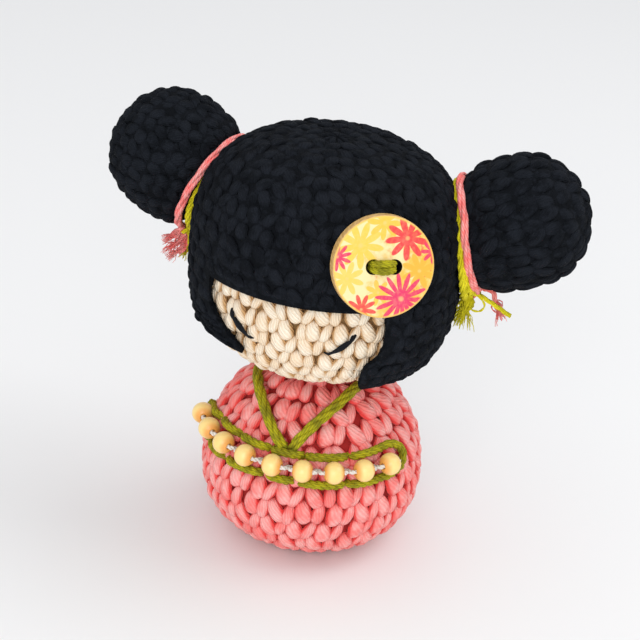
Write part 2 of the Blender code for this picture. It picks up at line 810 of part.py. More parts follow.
def make_bun(shop, neck, crown, bun, side, name):
    pivot = shop.pivot(f"{name}_bun_pivot", mirrored(bun.seat, side), neck)
    axis = mirrored(bun.axis, side)
    turn = axis.to_track_quat("Z", "Y").to_euler()
    middle = mirrored(bun.middle, side)

    cover = shop.turned(f"{name}_bun_cover", bun.profile(0), BUN_STEPS)
    wall_in(cover)
    inset = FABRIC + CLEARANCE
    filling = bun.profile(inset) + [(0, -BUN_STANDOFF - BUN_ROOT)]
    stuffing = shop.turned(f"{name}_bun_stuffing", filling, FILL_STEPS)
    for item, colour in ((cover, BLACK), (stuffing, FIBRE)):
        item.location = middle
        item.rotation_euler = turn
        cut(item, crown)
        hang(finish(item, colour, YARN_ROUGHNESS), pivot)

    ring_radius = BUN_NECK_RADIUS - FABRIC / 2
    ring = []
    for angle in bun.steps:
        place = bun.place(ring_radius, angle, bun.depth(ring_radius, angle))
        ring.append(mirrored(over_head(place, 0, SEAM_ROOM / 2), side))
    seam = shop.strand(f"{name}_bun_seam", ring, SEAM_YARN, looped=True)
    hang(finish(seam, BLACK, YARN_ROUGHNESS), neck)

    count = OLIVE_TURNS * LOOP_POINTS
    olive = [bun.olive_place(OLIVE_TURNS * step / count) for step in range(count + 1)]
    pink = [bun.pink_place(step / LOOP_POINTS) for step in range(LOOP_POINTS + 1)]
    ties = (("olive", olive, OLIVE_TIE, OLIVE_TAIL, OLIVE_TAIL_LEAN_SHARE, OLIVE),
            ("pink", pink, PINK_TIE, PINK_TAIL, PINK_TAIL_LEAN_SHARE, PINK))
    for label, winding, yarn, length, lean, colour in ties:
        route = [mirrored(place, side) for place in bun.wound(winding, yarn, length, lean)]
        print(f"{name} {label} tie, least gap to itself: {least_gap(route, yarn) * 1000:.2f} mm")
        tie = shop.strand(f"{name}_bun_{label}_tie", route, yarn)
        hang(finish(tie, colour, YARN_ROUGHNESS), pivot)


def main():
    clear_scene()
    shop = Shop()
    make_body(shop)
    make_collar(shop)
    make_beads(shop)
    make_sash(shop)
    neck = shop.pivot("neck_pivot", Vector((0, 0, NECK_TOP + SEAM_ROOM / 2)))
    make_head(shop, neck)
    make_hair(shop, neck)
    make_eyes(shop, neck)
    make_button(shop, neck)
    crown = shop.head_layer("crown", -SEAM_ROOM, is_cutter=True, steps=CROWN_STEPS)
    bun = Bun()
    make_bun(shop, neck, crown, bun, -1, "left")
    make_bun(shop, neck, crown, bun, 1, "right")


main()
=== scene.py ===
"""A crocheted doll: crochet, yarn, beads, a button and a small studio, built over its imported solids."""

import math

import bpy
import numpy as np
from bpy.props import FloatProperty, FloatVectorProperty, PointerProperty
from bpy.types import Operator, Panel, PropertyGroup
from mathutils import Matrix, Vector


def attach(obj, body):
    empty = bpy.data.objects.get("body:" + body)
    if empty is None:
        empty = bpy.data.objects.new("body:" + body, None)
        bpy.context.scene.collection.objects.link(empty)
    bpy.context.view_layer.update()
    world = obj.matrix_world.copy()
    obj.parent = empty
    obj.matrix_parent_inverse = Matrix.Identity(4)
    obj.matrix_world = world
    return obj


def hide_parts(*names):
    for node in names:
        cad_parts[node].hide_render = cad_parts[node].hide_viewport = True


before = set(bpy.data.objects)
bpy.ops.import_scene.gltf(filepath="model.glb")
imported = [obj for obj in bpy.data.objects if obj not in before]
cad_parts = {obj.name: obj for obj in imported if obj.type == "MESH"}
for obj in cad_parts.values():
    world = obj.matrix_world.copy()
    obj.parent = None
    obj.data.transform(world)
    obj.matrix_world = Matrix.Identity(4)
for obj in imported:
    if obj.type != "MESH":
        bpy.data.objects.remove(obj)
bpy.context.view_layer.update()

bl_info = {
    "name": "Crocheted Doll",
    "version": (1, 0, 0),
    "blender": (4, 5, 0),
    "location": "View3D > Sidebar > Doll",
    "description": "Builds a crocheted doll with its yarn, beads and button",
    "category": "Add Mesh",
}

MM = 0.001

# Sizes that the solids also have
FABRIC = 2.2 * MM
CLEARANCE = 0.3 * MM
SEAM_ROOM = 1.5 * MM
BODY_RADIUS = 24.1 * MM
BODY_DOME = 25 * MM
BODY_BOWL = 17.8 * MM
BOWL_POWER = 2.45
BODY_EQUATOR = 17.3 * MM
NECK_RADIUS = 9.5 * MM
NECK_LENGTH = 2.8 * MM
NECK_FOOT = BODY_EQUATOR + BODY_DOME * math.sqrt(1 - (NECK_RADIUS / BODY_RADIUS) ** 2)
NECK_TOP = NECK_FOOT + NECK_LENGTH

HEAD_WIDTH = 29 * MM
HEAD_DEPTH = 26.9 * MM
HEAD_HEIGHT = 26.7 * MM
HEAD_POWER = 2.8
HEAD_SEAT = NECK_TOP + SEAM_ROOM
FACE_LAYER = 2.5 * MM
HEAD_CENTRE = np.array((0, -4 * MM, HEAD_SEAT + HEAD_HEIGHT - 3.5 * MM))

FRINGE_DROP = 0.3 * MM
CHEEK_DROP = 9.3 * MM
RIM_DROP = 21.8 * MM

BUN_RADIUS = 14.2 * MM
BUN_LENGTH = 13.2 * MM
BUN_NECK = 8.8 * MM
BUN_STANDOFF = 13.1 * MM
BUN_SEAT = np.array((27.25, 4.5, 74.78)) * MM
BUN_SWEEP = math.radians(10)
BUN_LIFT = math.radians(23)

BUTTON_RADIUS = 10 * MM
BUTTON_THICKNESS = 3.2 * MM
BUTTON_HOLE = 1.45 * MM
BUTTON_HOLE_REACH = 2.1 * MM
BUTTON_SIDE = 16.3 * MM
BUTTON_RISE = 10.4 * MM
BUTTON_TURN = math.radians(28)
BUTTON_TILT = math.radians(15)

BEADS = 9
BEAD_RADIUS = 2.4 * MM
BEAD_LENGTH = 4.2 * MM
BEAD_BORE = 0.6 * MM
BEAD_SPACING = 2.4 * MM
BEAD_HEIGHT = BODY_EQUATOR + 9.5 * MM
ROW_TURN = math.radians(-4.5)

# Forms that the scene follows more closely than the solids do

# The buns' inner ends are full, and the right one sags towards the head at an angle round its axis
BUN_FULLNESS = 3.2
RIGHT_BUN_SAG = 0.22
SAG_ANGLE = -50
BUN_FOOT = 4 * MM
BUN_FOOT_LIFT = 1.1 * MM

# Where the hair ends round the face: height over the head's middle, then the reach to the side, in millimetres
LEFT_HAIR_EDGE = ((-14.1, 10.4), (-13.2, 11.4), (-12.4, 12.6), (-11.3, 14.0), (-10.2, 15.4), (-8.6, 17.1), (-7.0, 18.6),
                  (-5.5, 19.3))
RIGHT_HAIR_EDGE = ((-18.5, 14.6), (-16.4, 14.9), (-14.3, 15.5), (-12.7, 16.9), (-11.2, 18.3), (-8.6, 19.3))

# The hair's rim is higher in front at the left: the degrees where it starts to rise, is high, starts to fall and is low
LEFT_RIM_DROP = 14.9 * MM
LEFT_RIM_TURNS = (-140, -85, -12, 0)

# The hair is drawn in towards the face near its ends
HAIR_EDGE_SINK = 0.85 * MM
HAIR_EDGE_WIDTH = 2.2 * MM

# How far the wall behind the hair's stitches reaches past them, and the face's stitches go in under the hair
HAIR_WALL_LAP = 0.8
FACE_LAP = 2.2 * MM

# How deep the wall behind the stitches lies
BODY_WALL = 1.35 * MM
FACE_WALL = 1.3 * MM
HAIR_WALL = 0.68 * MM

# The collar's two stitches: the way across, then the height over the body's widest place, in millimetres
LEFT_COLLAR = ((0.9, 12.9), (1.5, 13.4), (3.2, 14.9), (5.6, 17.0), (8.3, 19.1), (10.3, 20.35), (11.5, 21.1),
               (12.0, 21.5))
RIGHT_COLLAR = ((0.9, 12.9), (1.5, 13.8), (2.6, 15.3), (4.0, 17.0), (5.8, 18.8), (7.5, 20.3), (9.3, 21.8), (10.1, 22.4))
COLLAR_LIFTS = (-0.9, 0.7, 1.05, 1.1, 1.1, 1.1, 1.0, -0.6)
COLLAR_PITCH = 15 * MM

# The sash: where its stitches end, as degrees round the body, then millimetres over or under the beads
SASH_OVER = ((-77, 0.6), (-52, 2.5), (-31, 2.5), (-9.5, 2.5), (10, 2.5), (36, 2.5), (62, 3.1))
SASH_RIGHT_END = ((68.5, 2.2), (71.5, 0.3), (67.5, -1.9))
SASH_UNDER = ((58, -2.6), (34, -2.9), (7, -2.6), (-9, -2.5), (-36, -3.3), (-54, -3.1), (-72, -2.9))
SASH_LEFT_END = ((-79, -2.0), (-80.5, -1.2), (-79.5, -0.3))

# How a back stitch dips into the fabric and rests on it: the share of the stitch, then millimetres over the fabric
SASH_DIPS = ((0.02, -2.0), (0.08, -0.8), (0.18, 0.6), (0.5, 0.95), (0.82, 0.6), (0.92, -0.8), (0.98, -2.0))
SASH_LIFT = 0.85
SASH_PITCH = 4.6 * MM

# A closed eye: how far its outer end lies to the side and down, how far it runs inwards and down, and its bow, in
# millimetres. Its ends go into the face.
EYE_SIDE = 13.1
EYE_DROP = 5.8
EYE_RUN = 5.8
EYE_FALL = 4.9
EYE_BOW = 0.65
EYE_LIFT = 0.62
EYE_END_LIFTS = {0: -0.9, 1: -0.3}

# The seams' rings and their yarn, which waves as it goes over and under
NECK_SEAM_RADIUS = 8.4 * MM
BUN_SEAM_RADIUS = 7.7 * MM
SEAM_YARN = 0.9 * MM
SEAM_PITCH = 3 * MM
SEAM_WAVES = 12

# The camera, with its turn, rise and roll in degrees
CAMERA_TURN = 14.49
CAMERA_RISE = 26.27
CAMERA_ROLL = -5.43
CAMERA_DISTANCE = 0.38
CAMERA_TARGET = Vector((-1.01, 0, 50.66)) * MM
CAMERA_LENS = 99.7


# What a user would change


def colour(name, description, default):
    return FloatVectorProperty(name=name, description=description, default=default, subtype="COLOR", min=0, max=1)


def length(name, description, default):
    return FloatProperty(name=name, description=description, default=default * MM, min=0.2 * MM, max=20 * MM,
                         subtype="DISTANCE", unit="LENGTH", precision=5)


class DollColours(PropertyGroup):
    # Each yarn has a main colour, a light colour for its palest random patches, and a shade colour that is painted
    # shade in the grooves and holes between its strands and stitches.
    pink: colour("Pink", "The body's yarn and the pink ties", (0.95, 0.25, 0.23))
    pink_light: colour("Light pink", "The body's yarn where it is palest", (0.98, 0.46, 0.43))
    pink_deep: colour("Deep pink", "The grooves of the pink yarn", (0.86, 0.042, 0.036))
    cream: colour("Cream", "The face's yarn", (0.94, 0.77, 0.57))
    cream_light: colour("Light cream", "The face's yarn where it is palest", (0.98, 0.88, 0.72))
    cream_deep: colour("Deep cream", "The grooves of the cream yarn", (0.60, 0.33, 0.12))
    black: colour("Black", "The yarn of the hair, the buns and the eyes", (0.0066, 0.0080, 0.0108))
    black_light: colour("Light black", "The black yarn where it is palest", (0.0135, 0.0160, 0.0215))
    black_deep: colour("Deep black", "The grooves of the black yarn", (0.0046, 0.0055, 0.0070))
    olive: colour("Olive", "The yarn of the sash, the collar and the button", (0.28, 0.255, 0.005))
    olive_light: colour("Light olive", "The olive yarn where it is palest", (0.50, 0.46, 0.006))
    olive_deep: colour("Deep olive", "The grooves of the olive yarn", (0.065, 0.067, 0.004))
    # The olive yarn round the buns is the same olive yarn painted lighter: painted light.
    moss: colour("Moss", "The olive yarn round the buns", (0.70, 0.62, 0.006))
    moss_light: colour("Light moss", "The olive yarn round the buns where it is palest", (0.95, 0.85, 0.02))
    moss_deep: colour("Deep moss", "The grooves of the olive yarn round the buns", (0.28, 0.25, 0.004))
    white: colour("White", "The thread through the beads", (0.88, 0.85, 0.78))
    white_light: colour("Light white", "The white thread where it is palest", (0.95, 0.93, 0.88))
    white_deep: colour("Deep white", "The grooves of the white thread", (0.55, 0.48, 0.38))
    fibre: colour("Fibre", "The stuffing", (0.86, 0.86, 0.83))
    fibre_light: colour("Light fibre", "The stuffing where it is palest", (0.95, 0.95, 0.93))
    fibre_deep: colour("Deep fibre", "The hollows of the stuffing", (0.60, 0.60, 0.58))
    bead: colour("Bead", "The middle of each bead", (0.98, 0.72, 0.27))
    # The bead's end colour is painted shade and a painted reflection of the pink yarn towards each end of its hole.
    bead_end: colour("Bead end", "The wood near each bead's hole", (0.85, 0.34, 0.05))
    button: colour("Button", "The ground of the button's print", (0.88, 0.74, 0.38))
    button_side: colour("Button side", "The bare wood of the button", (0.85, 0.55, 0.22))

    def yarn(self, name):
        """The light, main and shade colour of a yarn; the shade colour is painted shade."""
        return [tuple(getattr(self, name + end)) for end in ("_light", "", "_deep")]


class DollStitches(PropertyGroup):
    body_row: length("Body rows", "Height of a round of the body", 4.45)
    body_stitch: length("Body stitches", "Width of a stitch of the body", 6.3)
    face_row: length("Face rows", "Height of a round of the face", 3.75)
    face_stitch: length("Face stitches", "Width of a stitch of the face", 5.5)
    hair_row: length("Hair rows", "Height of a round of the hair", 3.5)
    hair_stitch: length("Hair stitches", "Width of a stitch of the hair and the buns", 6.0)
    left_bun_row: length("Left bun's rows", "Height of a round of the left bun", 3.4)
    right_bun_row: length("Right bun's rows", "Height of a round of the right bun", 4.4)
    collar: length("Collar yarn", "Thickness of the collar's yarn", 2.45)
    sash: length("Sash yarn", "Thickness of the sash's yarn", 1.95)
    eye: length("Eye thread", "Thickness of the thread of the eyes", 1.15)
    pink_tie: length("Pink tie", "Thickness of the pink yarn round the buns", 1.8)
    olive_tie: length("Olive tie", "Thickness of the olive yarn round the buns", 1.5)
    button_yarn: length("Button yarn", "Thickness of each strand through the button", 1.6)
    bead_thread: length("Bead thread", "Thickness of the thread through the beads", 1.0)


class DollStudio(PropertyGroup):
    sky: FloatProperty(name="Sky", description="Strength of the even light from all round", default=0.78, min=0)
    key: FloatProperty(name="Key", description="Power of the lamp in front", default=2.5, min=0, unit="POWER")
    window: FloatProperty(name="Window", description="Power of the lamp at the right", default=1.35, min=0,
                          unit="POWER")
    fill: FloatProperty(name="Fill", description="Power of the lamp at the left", default=0.3, min=0, unit="POWER")
    paper: colour("Paper", "The floor", (0.87, 0.87, 0.87))


class Doll(PropertyGroup):
    colours: PointerProperty(type=DollColours, name="Colours", description="Colours of the yarns and the wood")
    stitches: PointerProperty(type=DollStitches, name="Stitches", description="Sizes of the stitches and the yarns")
    studio: PointerProperty(type=DollStudio, name="Studio", description="Floor and lamps")


# Lines


def unit(vectors):
    """The same vectors, one long each."""
    return vectors / np.linalg.norm(vectors, axis=-1, keepdims=True)


def smoothed(values, passes=4):
    """A list with its corners rounded off."""
    for _ in range(passes):
        inner = (values[:-2] + 2 * values[1:-1] + values[2:]) / 4
        values = np.concatenate((values[:1], inner, values[-1:]))
    return values


def lengths_along(points):
    """How far along a line each of its points lies."""
    steps = np.linalg.norm(np.diff(points, axis=0), axis=1)
    return np.concatenate(([0], np.cumsum(steps)))


CURVE_STEPS = 12


def curve_through(points, step=0.35 * MM, closed=False):
    """Points at even steps along a smooth curve through a few given ones."""
    points = [np.array(point, float) for point in points]
    if closed:
        points = [points[-1]] + points + points[:2]
    else:
        points = [2 * points[0] - points[1]] + points + [2 * points[-1] - points[-2]]
    fine = []
    share = np.linspace(0, 1, CURVE_STEPS, endpoint=False)[:, None]
    for before, first, second, after in zip(points, points[1:], points[2:], points[3:]):
        fine.append(0.5 * (2 * first + (second - before) * share
                           + (2 * before - 5 * first + 4 * second - after) * share ** 2
                           + (3 * first - before - 3 * second + after) * share ** 3))
    fine = np.concatenate(fine + [points[-2][None, :]])
    along = lengths_along(fine)
    places = np.linspace(0, along[-1], max(3, round(along[-1] / step) + 1))
    line = np.stack([np.interp(places, along, fine[:, axis]) for axis in range(3)], axis=1)
    return line[:-1] if closed else line


def frames(points, closed=False):
    """Ways to the side and up along a line, turning as little as they can."""
    if closed:
        ways = unit(np.roll(points, -1, axis=0) - np.roll(points, 1, axis=0))
    else:
        ways = unit(np.gradient(points, axis=0))
    side = np.cross(ways[0], (0.3, 0.2, 1))
    sides = []
    for way in ways:
        side = side - way * side.dot(way)
        side = side / np.linalg.norm(side)
        sides.append(side)
    sides = np.array(sides)
    ups = np.cross(ways, sides)
    if closed:
        last = sides[-1] - ways[0] * sides[-1].dot(ways[0])
        error = math.atan2(last.dot(ups[0]), last.dot(sides[0]))
        turn = -error * np.arange(len(points))[:, None] / len(points)
        sides, ups = sides * np.cos(turn) + ups * np.sin(turn), ups * np.cos(turn) - sides * np.sin(turn)
    return sides, ups


# Surfaces


class Fabric:
    """A profile of (radius, height), from one end to the other, turned about an axis."""

    def __init__(self, profile, centre, spread=(1, 1), axes=None, hem=None):
        self.profile = np.array(profile, float)
        self.along = lengths_along(self.profile)
        self.length = self.along[-1]
        slopes = np.gradient(self.profile, self.along, axis=0)
        self.slopes = np.stack([smoothed(slopes[:, 0]), smoothed(slopes[:, 1])], axis=1)
        self.centre = np.array(centre, float)
        self.spread = spread
        self.axes = np.eye(3) if axes is None else np.array(axes, float)
        self.hem = hem

    def radius(self, along):
        return np.interp(along, self.along, self.profile[:, 0])

    def place(self, azimuth, along, out):
        """Points over the surface. Azimuth 0 is the front."""
        along = np.clip(along, 0, self.length)
        radius = self.radius(along)
        height = np.interp(along, self.along, self.profile[:, 1])
        if self.hem:
            height = self.hem(azimuth, height)
        growth = np.interp(along, self.along, self.slopes[:, 0])
        rise = np.interp(along, self.along, self.slopes[:, 1])
        wide, deep = self.spread
        sine, cosine = np.sin(azimuth), np.cos(azimuth)
        level = np.stack(np.broadcast_arrays(wide * radius * sine, -deep * radius * cosine, height), axis=-1)
        facing = unit(np.stack(np.broadcast_arrays(deep * sine * rise, -wide * cosine * rise, -wide * deep * growth),
                               axis=-1))
        return self.centre + (level + facing * np.asarray(out)[..., None]) @ self.axes

    def along_at(self, height):
        """How far along the profile a height is, where it rises all the way."""
        return float(np.interp(height, self.profile[:, 1], self.along))


def body_radius(height):
    rise = height - BODY_EQUATOR
    if rise > 0:
        return max(BODY_RADIUS * math.sqrt(1 - min(rise / BODY_DOME, 1) ** 2), NECK_RADIUS)
    return BODY_RADIUS * (1 - min(-rise / BODY_BOWL, 1) ** BOWL_POWER) ** (1 / BOWL_POWER)


def body_slope(height):
    """How fast the body's radius grows with height."""
    step = 0.1 * MM
    return (body_radius(height + step) - body_radius(height - step)) / (2 * step)


def body_fabric():
    low = math.asin(BODY_EQUATOR / BODY_BOWL)
    high = math.acos(NECK_RADIUS / BODY_RADIUS)
    heights = [BODY_EQUATOR + BODY_BOWL * math.sin(angle) for angle in np.linspace(-low, 0, 80)]
    heights += [BODY_EQUATOR + BODY_DOME * math.sin(angle) for angle in np.linspace(0, high, 80)[1:]]
    profile = [(0, 0)] + [(body_radius(height), height) for height in heights] + [(NECK_RADIUS, NECK_TOP)]
    return Fabric(profile, (0, 0, 0))


def on_body(azimuth, height, offset):
    """A place over the body's surface. Azimuth 0 is the front, and it grows towards +X."""
    slope = body_slope(height)
    out = offset / math.hypot(1, slope)
    reach = body_radius(height) + out
    return np.array((reach * math.sin(azimuth), -reach * math.cos(azimuth), height - slope * out))


def head_profile(depth, low):
    """The head's side, drawn in by a depth, from a height below its centre up to the crown."""
    width, height = HEAD_WIDTH - depth, HEAD_HEIGHT - depth
    angles = np.linspace(0, math.pi / 2, 160)
    share = 2 / HEAD_POWER
    sines = np.sin(angles) ** share
    cosines = np.clip(np.cos(angles), 0, 1) ** share
    upper = list(zip(width * cosines, height * sines))
    lower = [(radius, -level) for radius, level in upper[:0:-1] if -level > low]
    edge = width * (1 - abs(low / height) ** HEAD_POWER) ** (1 / HEAD_POWER)
    return [(edge, low)] + lower + upper


def hair_fabric():
    return Fabric(head_profile(0, -RIM_DROP), HEAD_CENTRE, (1, HEAD_DEPTH / HEAD_WIDTH))


def face_fabric():
    seat = HEAD_SEAT - HEAD_CENTRE[2]
    profile = [(NECK_RADIUS - FABRIC, seat)] + head_profile(FACE_LAYER, seat)
    return Fabric(profile, HEAD_CENTRE, (1, (HEAD_DEPTH - FACE_LAYER) / (HEAD_WIDTH - FACE_LAYER)))


def head_front(side, rise, depth):
    """A place on the head's front and the way out of it there."""
    width, length, height = HEAD_WIDTH - depth, HEAD_DEPTH - depth, HEAD_HEIGHT - depth
    flat = (1 - abs(rise / height) ** HEAD_POWER) ** (1 / HEAD_POWER)
    way = np.array((side, -length * math.sqrt(flat ** 2 - (side / width) ** 2), rise))
    reach = math.hypot(way[0] / width, way[1] / length) ** (HEAD_POWER - 2)
    steep = math.copysign(abs(way[2] / height) ** (HEAD_POWER - 1), way[2]) / height
    return HEAD_CENTRE + way, unit(np.array((reach * way[0] / width ** 2, reach * way[1] / length ** 2, steep)))


def hair_level(points):
    """Below 1 inside the hair's shape, and above 1 outside it."""
    way = (points - HEAD_CENTRE) / np.array((HEAD_WIDTH, HEAD_DEPTH, HEAD_HEIGHT))
    return np.hypot(way[..., 0], way[..., 1]) ** HEAD_POWER + np.abs(way[..., 2]) ** HEAD_POWER


def opening_reach(up):
    """How far the opening for the face reaches to the left and right at a height over the head's middle."""
    return [np.interp(up / MM, *zip(*edge)) * MM for edge in (LEFT_HAIR_EDGE, RIGHT_HAIR_EDGE)]


class HairEdge:
    """Where the hair ends: round the face, and along a rim that is higher in front at the left."""

    def __init__(self, fabric):
        self.fabric = fabric
        self.fringe = fabric.along_at(-FRINGE_DROP)
        self.cheek = fabric.along_at(-CHEEK_DROP)
        self.rise = fabric.along_at(-LEFT_RIM_DROP)

    def raised(self, azimuth, along):
        """Draw the hair's lower part up to its rim."""
        turn = np.degrees((azimuth + math.pi) % math.tau - math.pi)
        rise = np.interp(turn, LEFT_RIM_TURNS, (0, self.rise, self.rise, 0))
        return along + rise * np.clip(1 - along / self.cheek, 0, 1)

    def measured(self, azimuth, along):
        """The turn from the front, and how far places lie beside and above the opening."""
        turn = (azimuth + math.pi) % math.tau - math.pi
        radius = self.fabric.radius(along)
        up = np.interp(along, self.fabric.along, self.fabric.profile[:, 1])
        edge = np.arcsin(np.clip(np.where(turn < 0, *opening_reach(up)) / radius, 0, 1))
        return turn, edge, (np.abs(turn) - edge) * radius, along - self.fringe

    def covers(self, azimuth, along):
        """The share of places that lie in the opening."""
        _, _, beside, above = self.measured(azimuth, self.raised(azimuth, along))
        return ((beside < 0) & (above < 0)).mean()

    def kept(self, azimuth, along, out):
        """Move places out of the opening, and draw the hair in towards the face near its ends."""
        rim = np.maximum(along, 0)
        along = self.raised(azimuth, along)
        turn, edge, beside, above = self.measured(azimuth, along)
        inside = (beside < 0) & (above < 0)
        aside = inside & (beside > above)
        turn = np.where(aside, np.copysign(edge, turn), turn)
        along = np.where(inside & ~aside, self.fringe, along)
        near = np.minimum(np.maximum(np.maximum(beside, above), 0), rim)
        return turn, along, out - HAIR_EDGE_SINK * np.clip(1 - near / HAIR_EDGE_WIDTH, 0, 1)


class Bun:
    """A bun's frame. Angles run round its axis from its front, with 90 degrees at its top."""

    def __init__(self, side):
        level = np.array((math.cos(BUN_SWEEP), math.sin(BUN_SWEEP), 0))
        self.axis = level * math.cos(BUN_LIFT) + np.array((0, 0, math.sin(BUN_LIFT)))
        self.front = unit(np.cross(self.axis, (0, 0, 1)))
        self.up = np.cross(self.front, self.axis)
        self.middle = BUN_SEAT + self.axis * BUN_STANDOFF
        self.side = side
        self.flip = np.array((side, 1, 1))
        self.sag = RIGHT_BUN_SAG if side > 0 else 0

    def place(self, radius, angle, inward):
        """Places at a radius and angle, inward from the bun's middle."""
        angle = np.radians(angle)
        ring = np.multiply.outer(np.cos(angle), self.front) + np.multiply.outer(np.sin(angle), self.up)
        return (self.middle + ring * np.asarray(radius)[..., None]
                - np.multiply.outer(inward, self.axis)) * self.flip

    def depth(self, radius, angle):
        """How far inward the hair lies at a radius and angle."""
        low, high = np.zeros(np.shape(angle)), np.full(np.shape(angle), 40 * MM)
        for _ in range(30):
            middle = (low + high) / 2
            inside = hair_level(self.place(radius, angle, middle) * self.flip) < 1
            low, high = np.where(inside, low, middle), np.where(inside, middle, high)
        return high

    def fuller(self, angle):
        """How much longer the bun's inner end is at an angle: the right bun sags towards the head."""
        return 1 + self.sag * np.clip(np.cos(np.radians(angle - SAG_ANGLE)), 0, 1)

    def rest(self, radius, angle):
        """How far inward a yarn of some radius rests on the bun's inner end."""
        share = 1 - ((radius - 0.45 * MM) / BUN_RADIUS) ** BUN_FULLNESS
        return BUN_LENGTH * share ** (1 / BUN_FULLNESS) * self.fuller(angle) + 0.35 * MM

    def fabric(self):
        """The bun from its foot on the hair, round its full inner end, to its outer end."""
        meet = BUN_LENGTH * (1 - (BUN_NECK / BUN_RADIUS) ** BUN_FULLNESS) ** (1 / BUN_FULLNESS)
        profile = [(BUN_NECK, -meet - BUN_FOOT), (BUN_NECK, -meet)]
        profile += [(BUN_RADIUS * (1 - (-level / BUN_LENGTH) ** BUN_FULLNESS) ** (1 / BUN_FULLNESS), level)
                    for level in np.linspace(-meet, 0, 60)[1:]]
        profile += [(BUN_RADIUS * math.cos(angle), BUN_LENGTH * math.sin(angle))
                    for angle in np.linspace(0, math.pi / 2, 70)[1:]]
        rounds = np.linspace(-180, 180, 73)
        reach = self.depth(np.full(len(rounds), BUN_NECK), rounds) - BUN_FOOT_LIFT

        def hem(azimuth, height):
            """Stretch the foot down to the hair, and the inner end where the bun is fuller."""
            angle = (360 - self.side * np.degrees(azimuth)) % 360 - 180
            fuller = self.fuller(angle)
            longer = np.maximum((np.interp(angle, rounds, reach) - meet * fuller) / BUN_FOOT, 0.02)
            inner = np.where(height < -meet, -meet * fuller + (height + meet) * longer, height * fuller)
            return np.where(height < 0, inner, height)

        axes = np.array((self.up * self.side, self.front, self.axis)) * self.flip
        return Fabric(profile, self.middle * self.flip, (1, 1), axes, hem)


# Meshes


def clear_selection():
    if bpy.context.object and bpy.context.object.mode != "OBJECT":
        bpy.ops.object.mode_set(mode="OBJECT")
    bpy.ops.object.select_all(action="DESELECT")


def pick(piece):
    clear_selection()
    piece.select_set(True)
    bpy.context.view_layer.objects.active = piece


def apply_modifier(piece, kind, **settings):
    modifier = piece.modifiers.new(kind.title(), kind)
    for name, value in settings.items():
        setattr(modifier, name, value)
    pick(piece)
    bpy.ops.object.modifier_apply(modifier=modifier.name)


def new_object(name, mesh):
    piece = bpy.data.objects.new(name, mesh)
    bpy.context.scene.collection.objects.link(piece)
    return piece


def gather(name, shapes):
    """One mesh from many (corners, loops, sizes, uvs)."""
    base = np.cumsum([0] + [len(shape[0]) for shape in shapes])
    corners = np.concatenate([shape[0] for shape in shapes])
    loops = np.concatenate([shape[1] + start for shape, start in zip(shapes, base)])
    sizes = np.concatenate([shape[2] for shape in shapes])
    spots = np.concatenate([shape[3] for shape in shapes])
    mesh = bpy.data.meshes.new(name)
    mesh.vertices.add(len(corners))
    mesh.vertices.foreach_set("co", corners.astype(np.float32).ravel())
    mesh.loops.add(len(loops))
    mesh.loops.foreach_set("vertex_index", loops.astype(np.int32))
    mesh.polygons.add(len(sizes))
    starts = np.concatenate(([0], np.cumsum(sizes)[:-1]))
    mesh.polygons.foreach_set("loop_start", starts.astype(np.int32))
    mesh.polygons.foreach_set("loop_total", sizes.astype(np.int32))
    mesh.uv_layers.new(name="yarn").data.foreach_set("uv", spots.astype(np.float32).ravel())
    mesh.update(calc_edges=True)
    mesh.validate()
    mesh.shade_smooth()
    return new_object(name, mesh)


def tube(points, radii, sides=8, closed=False, start=0.0):
    """A closed tube along points. Its UVs run round it and along it in millimetres."""
    count = len(points)
    radii = np.broadcast_to(radii, count)
    side, up = frames(points, closed)
    angles = np.arange(sides) * math.tau / sides
    ring = side[:, None, :] * np.cos(angles)[:, None] + up[:, None, :] * np.sin(angles)[:, None]
    corners = (points[:, None, :] + ring * radii[:, None, None]).reshape(-1, 3)
    along = lengths_along(points) / MM + start
    spans = count if closed else count - 1
    rows, columns = np.meshgrid(np.arange(spans), np.arange(sides), indexing="ij")
    after, beside = (rows + 1) % count, (columns + 1) % sides
    loops = np.stack((rows * sides + columns, rows * sides + beside, after * sides + beside,
                      after * sides + columns), axis=-1).reshape(-1)
    ends = np.append(along, along[-1] + 1)
    spots = np.stack((np.stack((columns, columns + 1, columns + 1, columns), axis=-1) / sides,
                      np.stack((ends[rows], ends[rows], ends[rows + 1], ends[rows + 1]), axis=-1)),
                     axis=-1).reshape(-1, 2)
    sizes = np.full(spans * sides, 4)
    if not closed:
        corners = np.concatenate((corners, points[:1], points[-1:]))
        each = np.arange(sides)
        first = np.stack((np.full(sides, count * sides), (each + 1) % sides, each), axis=-1)
        last = np.stack((np.full(sides, count * sides + 1), each, (each + 1) % sides), axis=-1)
        last[:, 1:] += (count - 1) * sides
        loops = np.concatenate((loops, first.ravel(), last.ravel()))
        spots = np.concatenate((spots, np.full((sides * 3, 2), along[0]), np.full((sides * 3, 2), along[-1])))
        sizes = np.concatenate((sizes, np.full(sides * 2, 3)))
    return corners, loops, sizes, spots


# Each ply's radius as a share of its yarn's thickness, by the number of plies, and its sides
PLY_RADII = {2: 0.29, 3: 0.26, 4: 0.225}
PLY_SIDES = 7


def plied(line, thickness, plies, pitch, closed=False, taper=None, phase=0.0):
    """Yarn: plies twisted round a line."""
    side, up = frames(line, closed)
    share = np.linspace(0, 1, len(line), endpoint=not closed)
    turns = lengths_along(line)[-1] / pitch
    if closed:
        turns = max(1, round(turns))
    swell = np.ones(len(line)) if taper is None else taper(share)
    size = PLY_RADII[plies] * thickness
    shapes = []
    for ply in range(plies):
        turn = (share * turns + ply / plies + phase) * math.tau
        ring = side * np.cos(turn)[:, None] + up * np.sin(turn)[:, None]
        path = line + ring * ((thickness / 2 - size) * swell)[:, None]
        shapes.append(tube(path, size * swell, PLY_SIDES, closed, start=ply * 3.7))
    return shapes


FIBRE = 0.30 * MM
FIBRE_DROOP = 0.12
FIBRE_CURL = 0.12


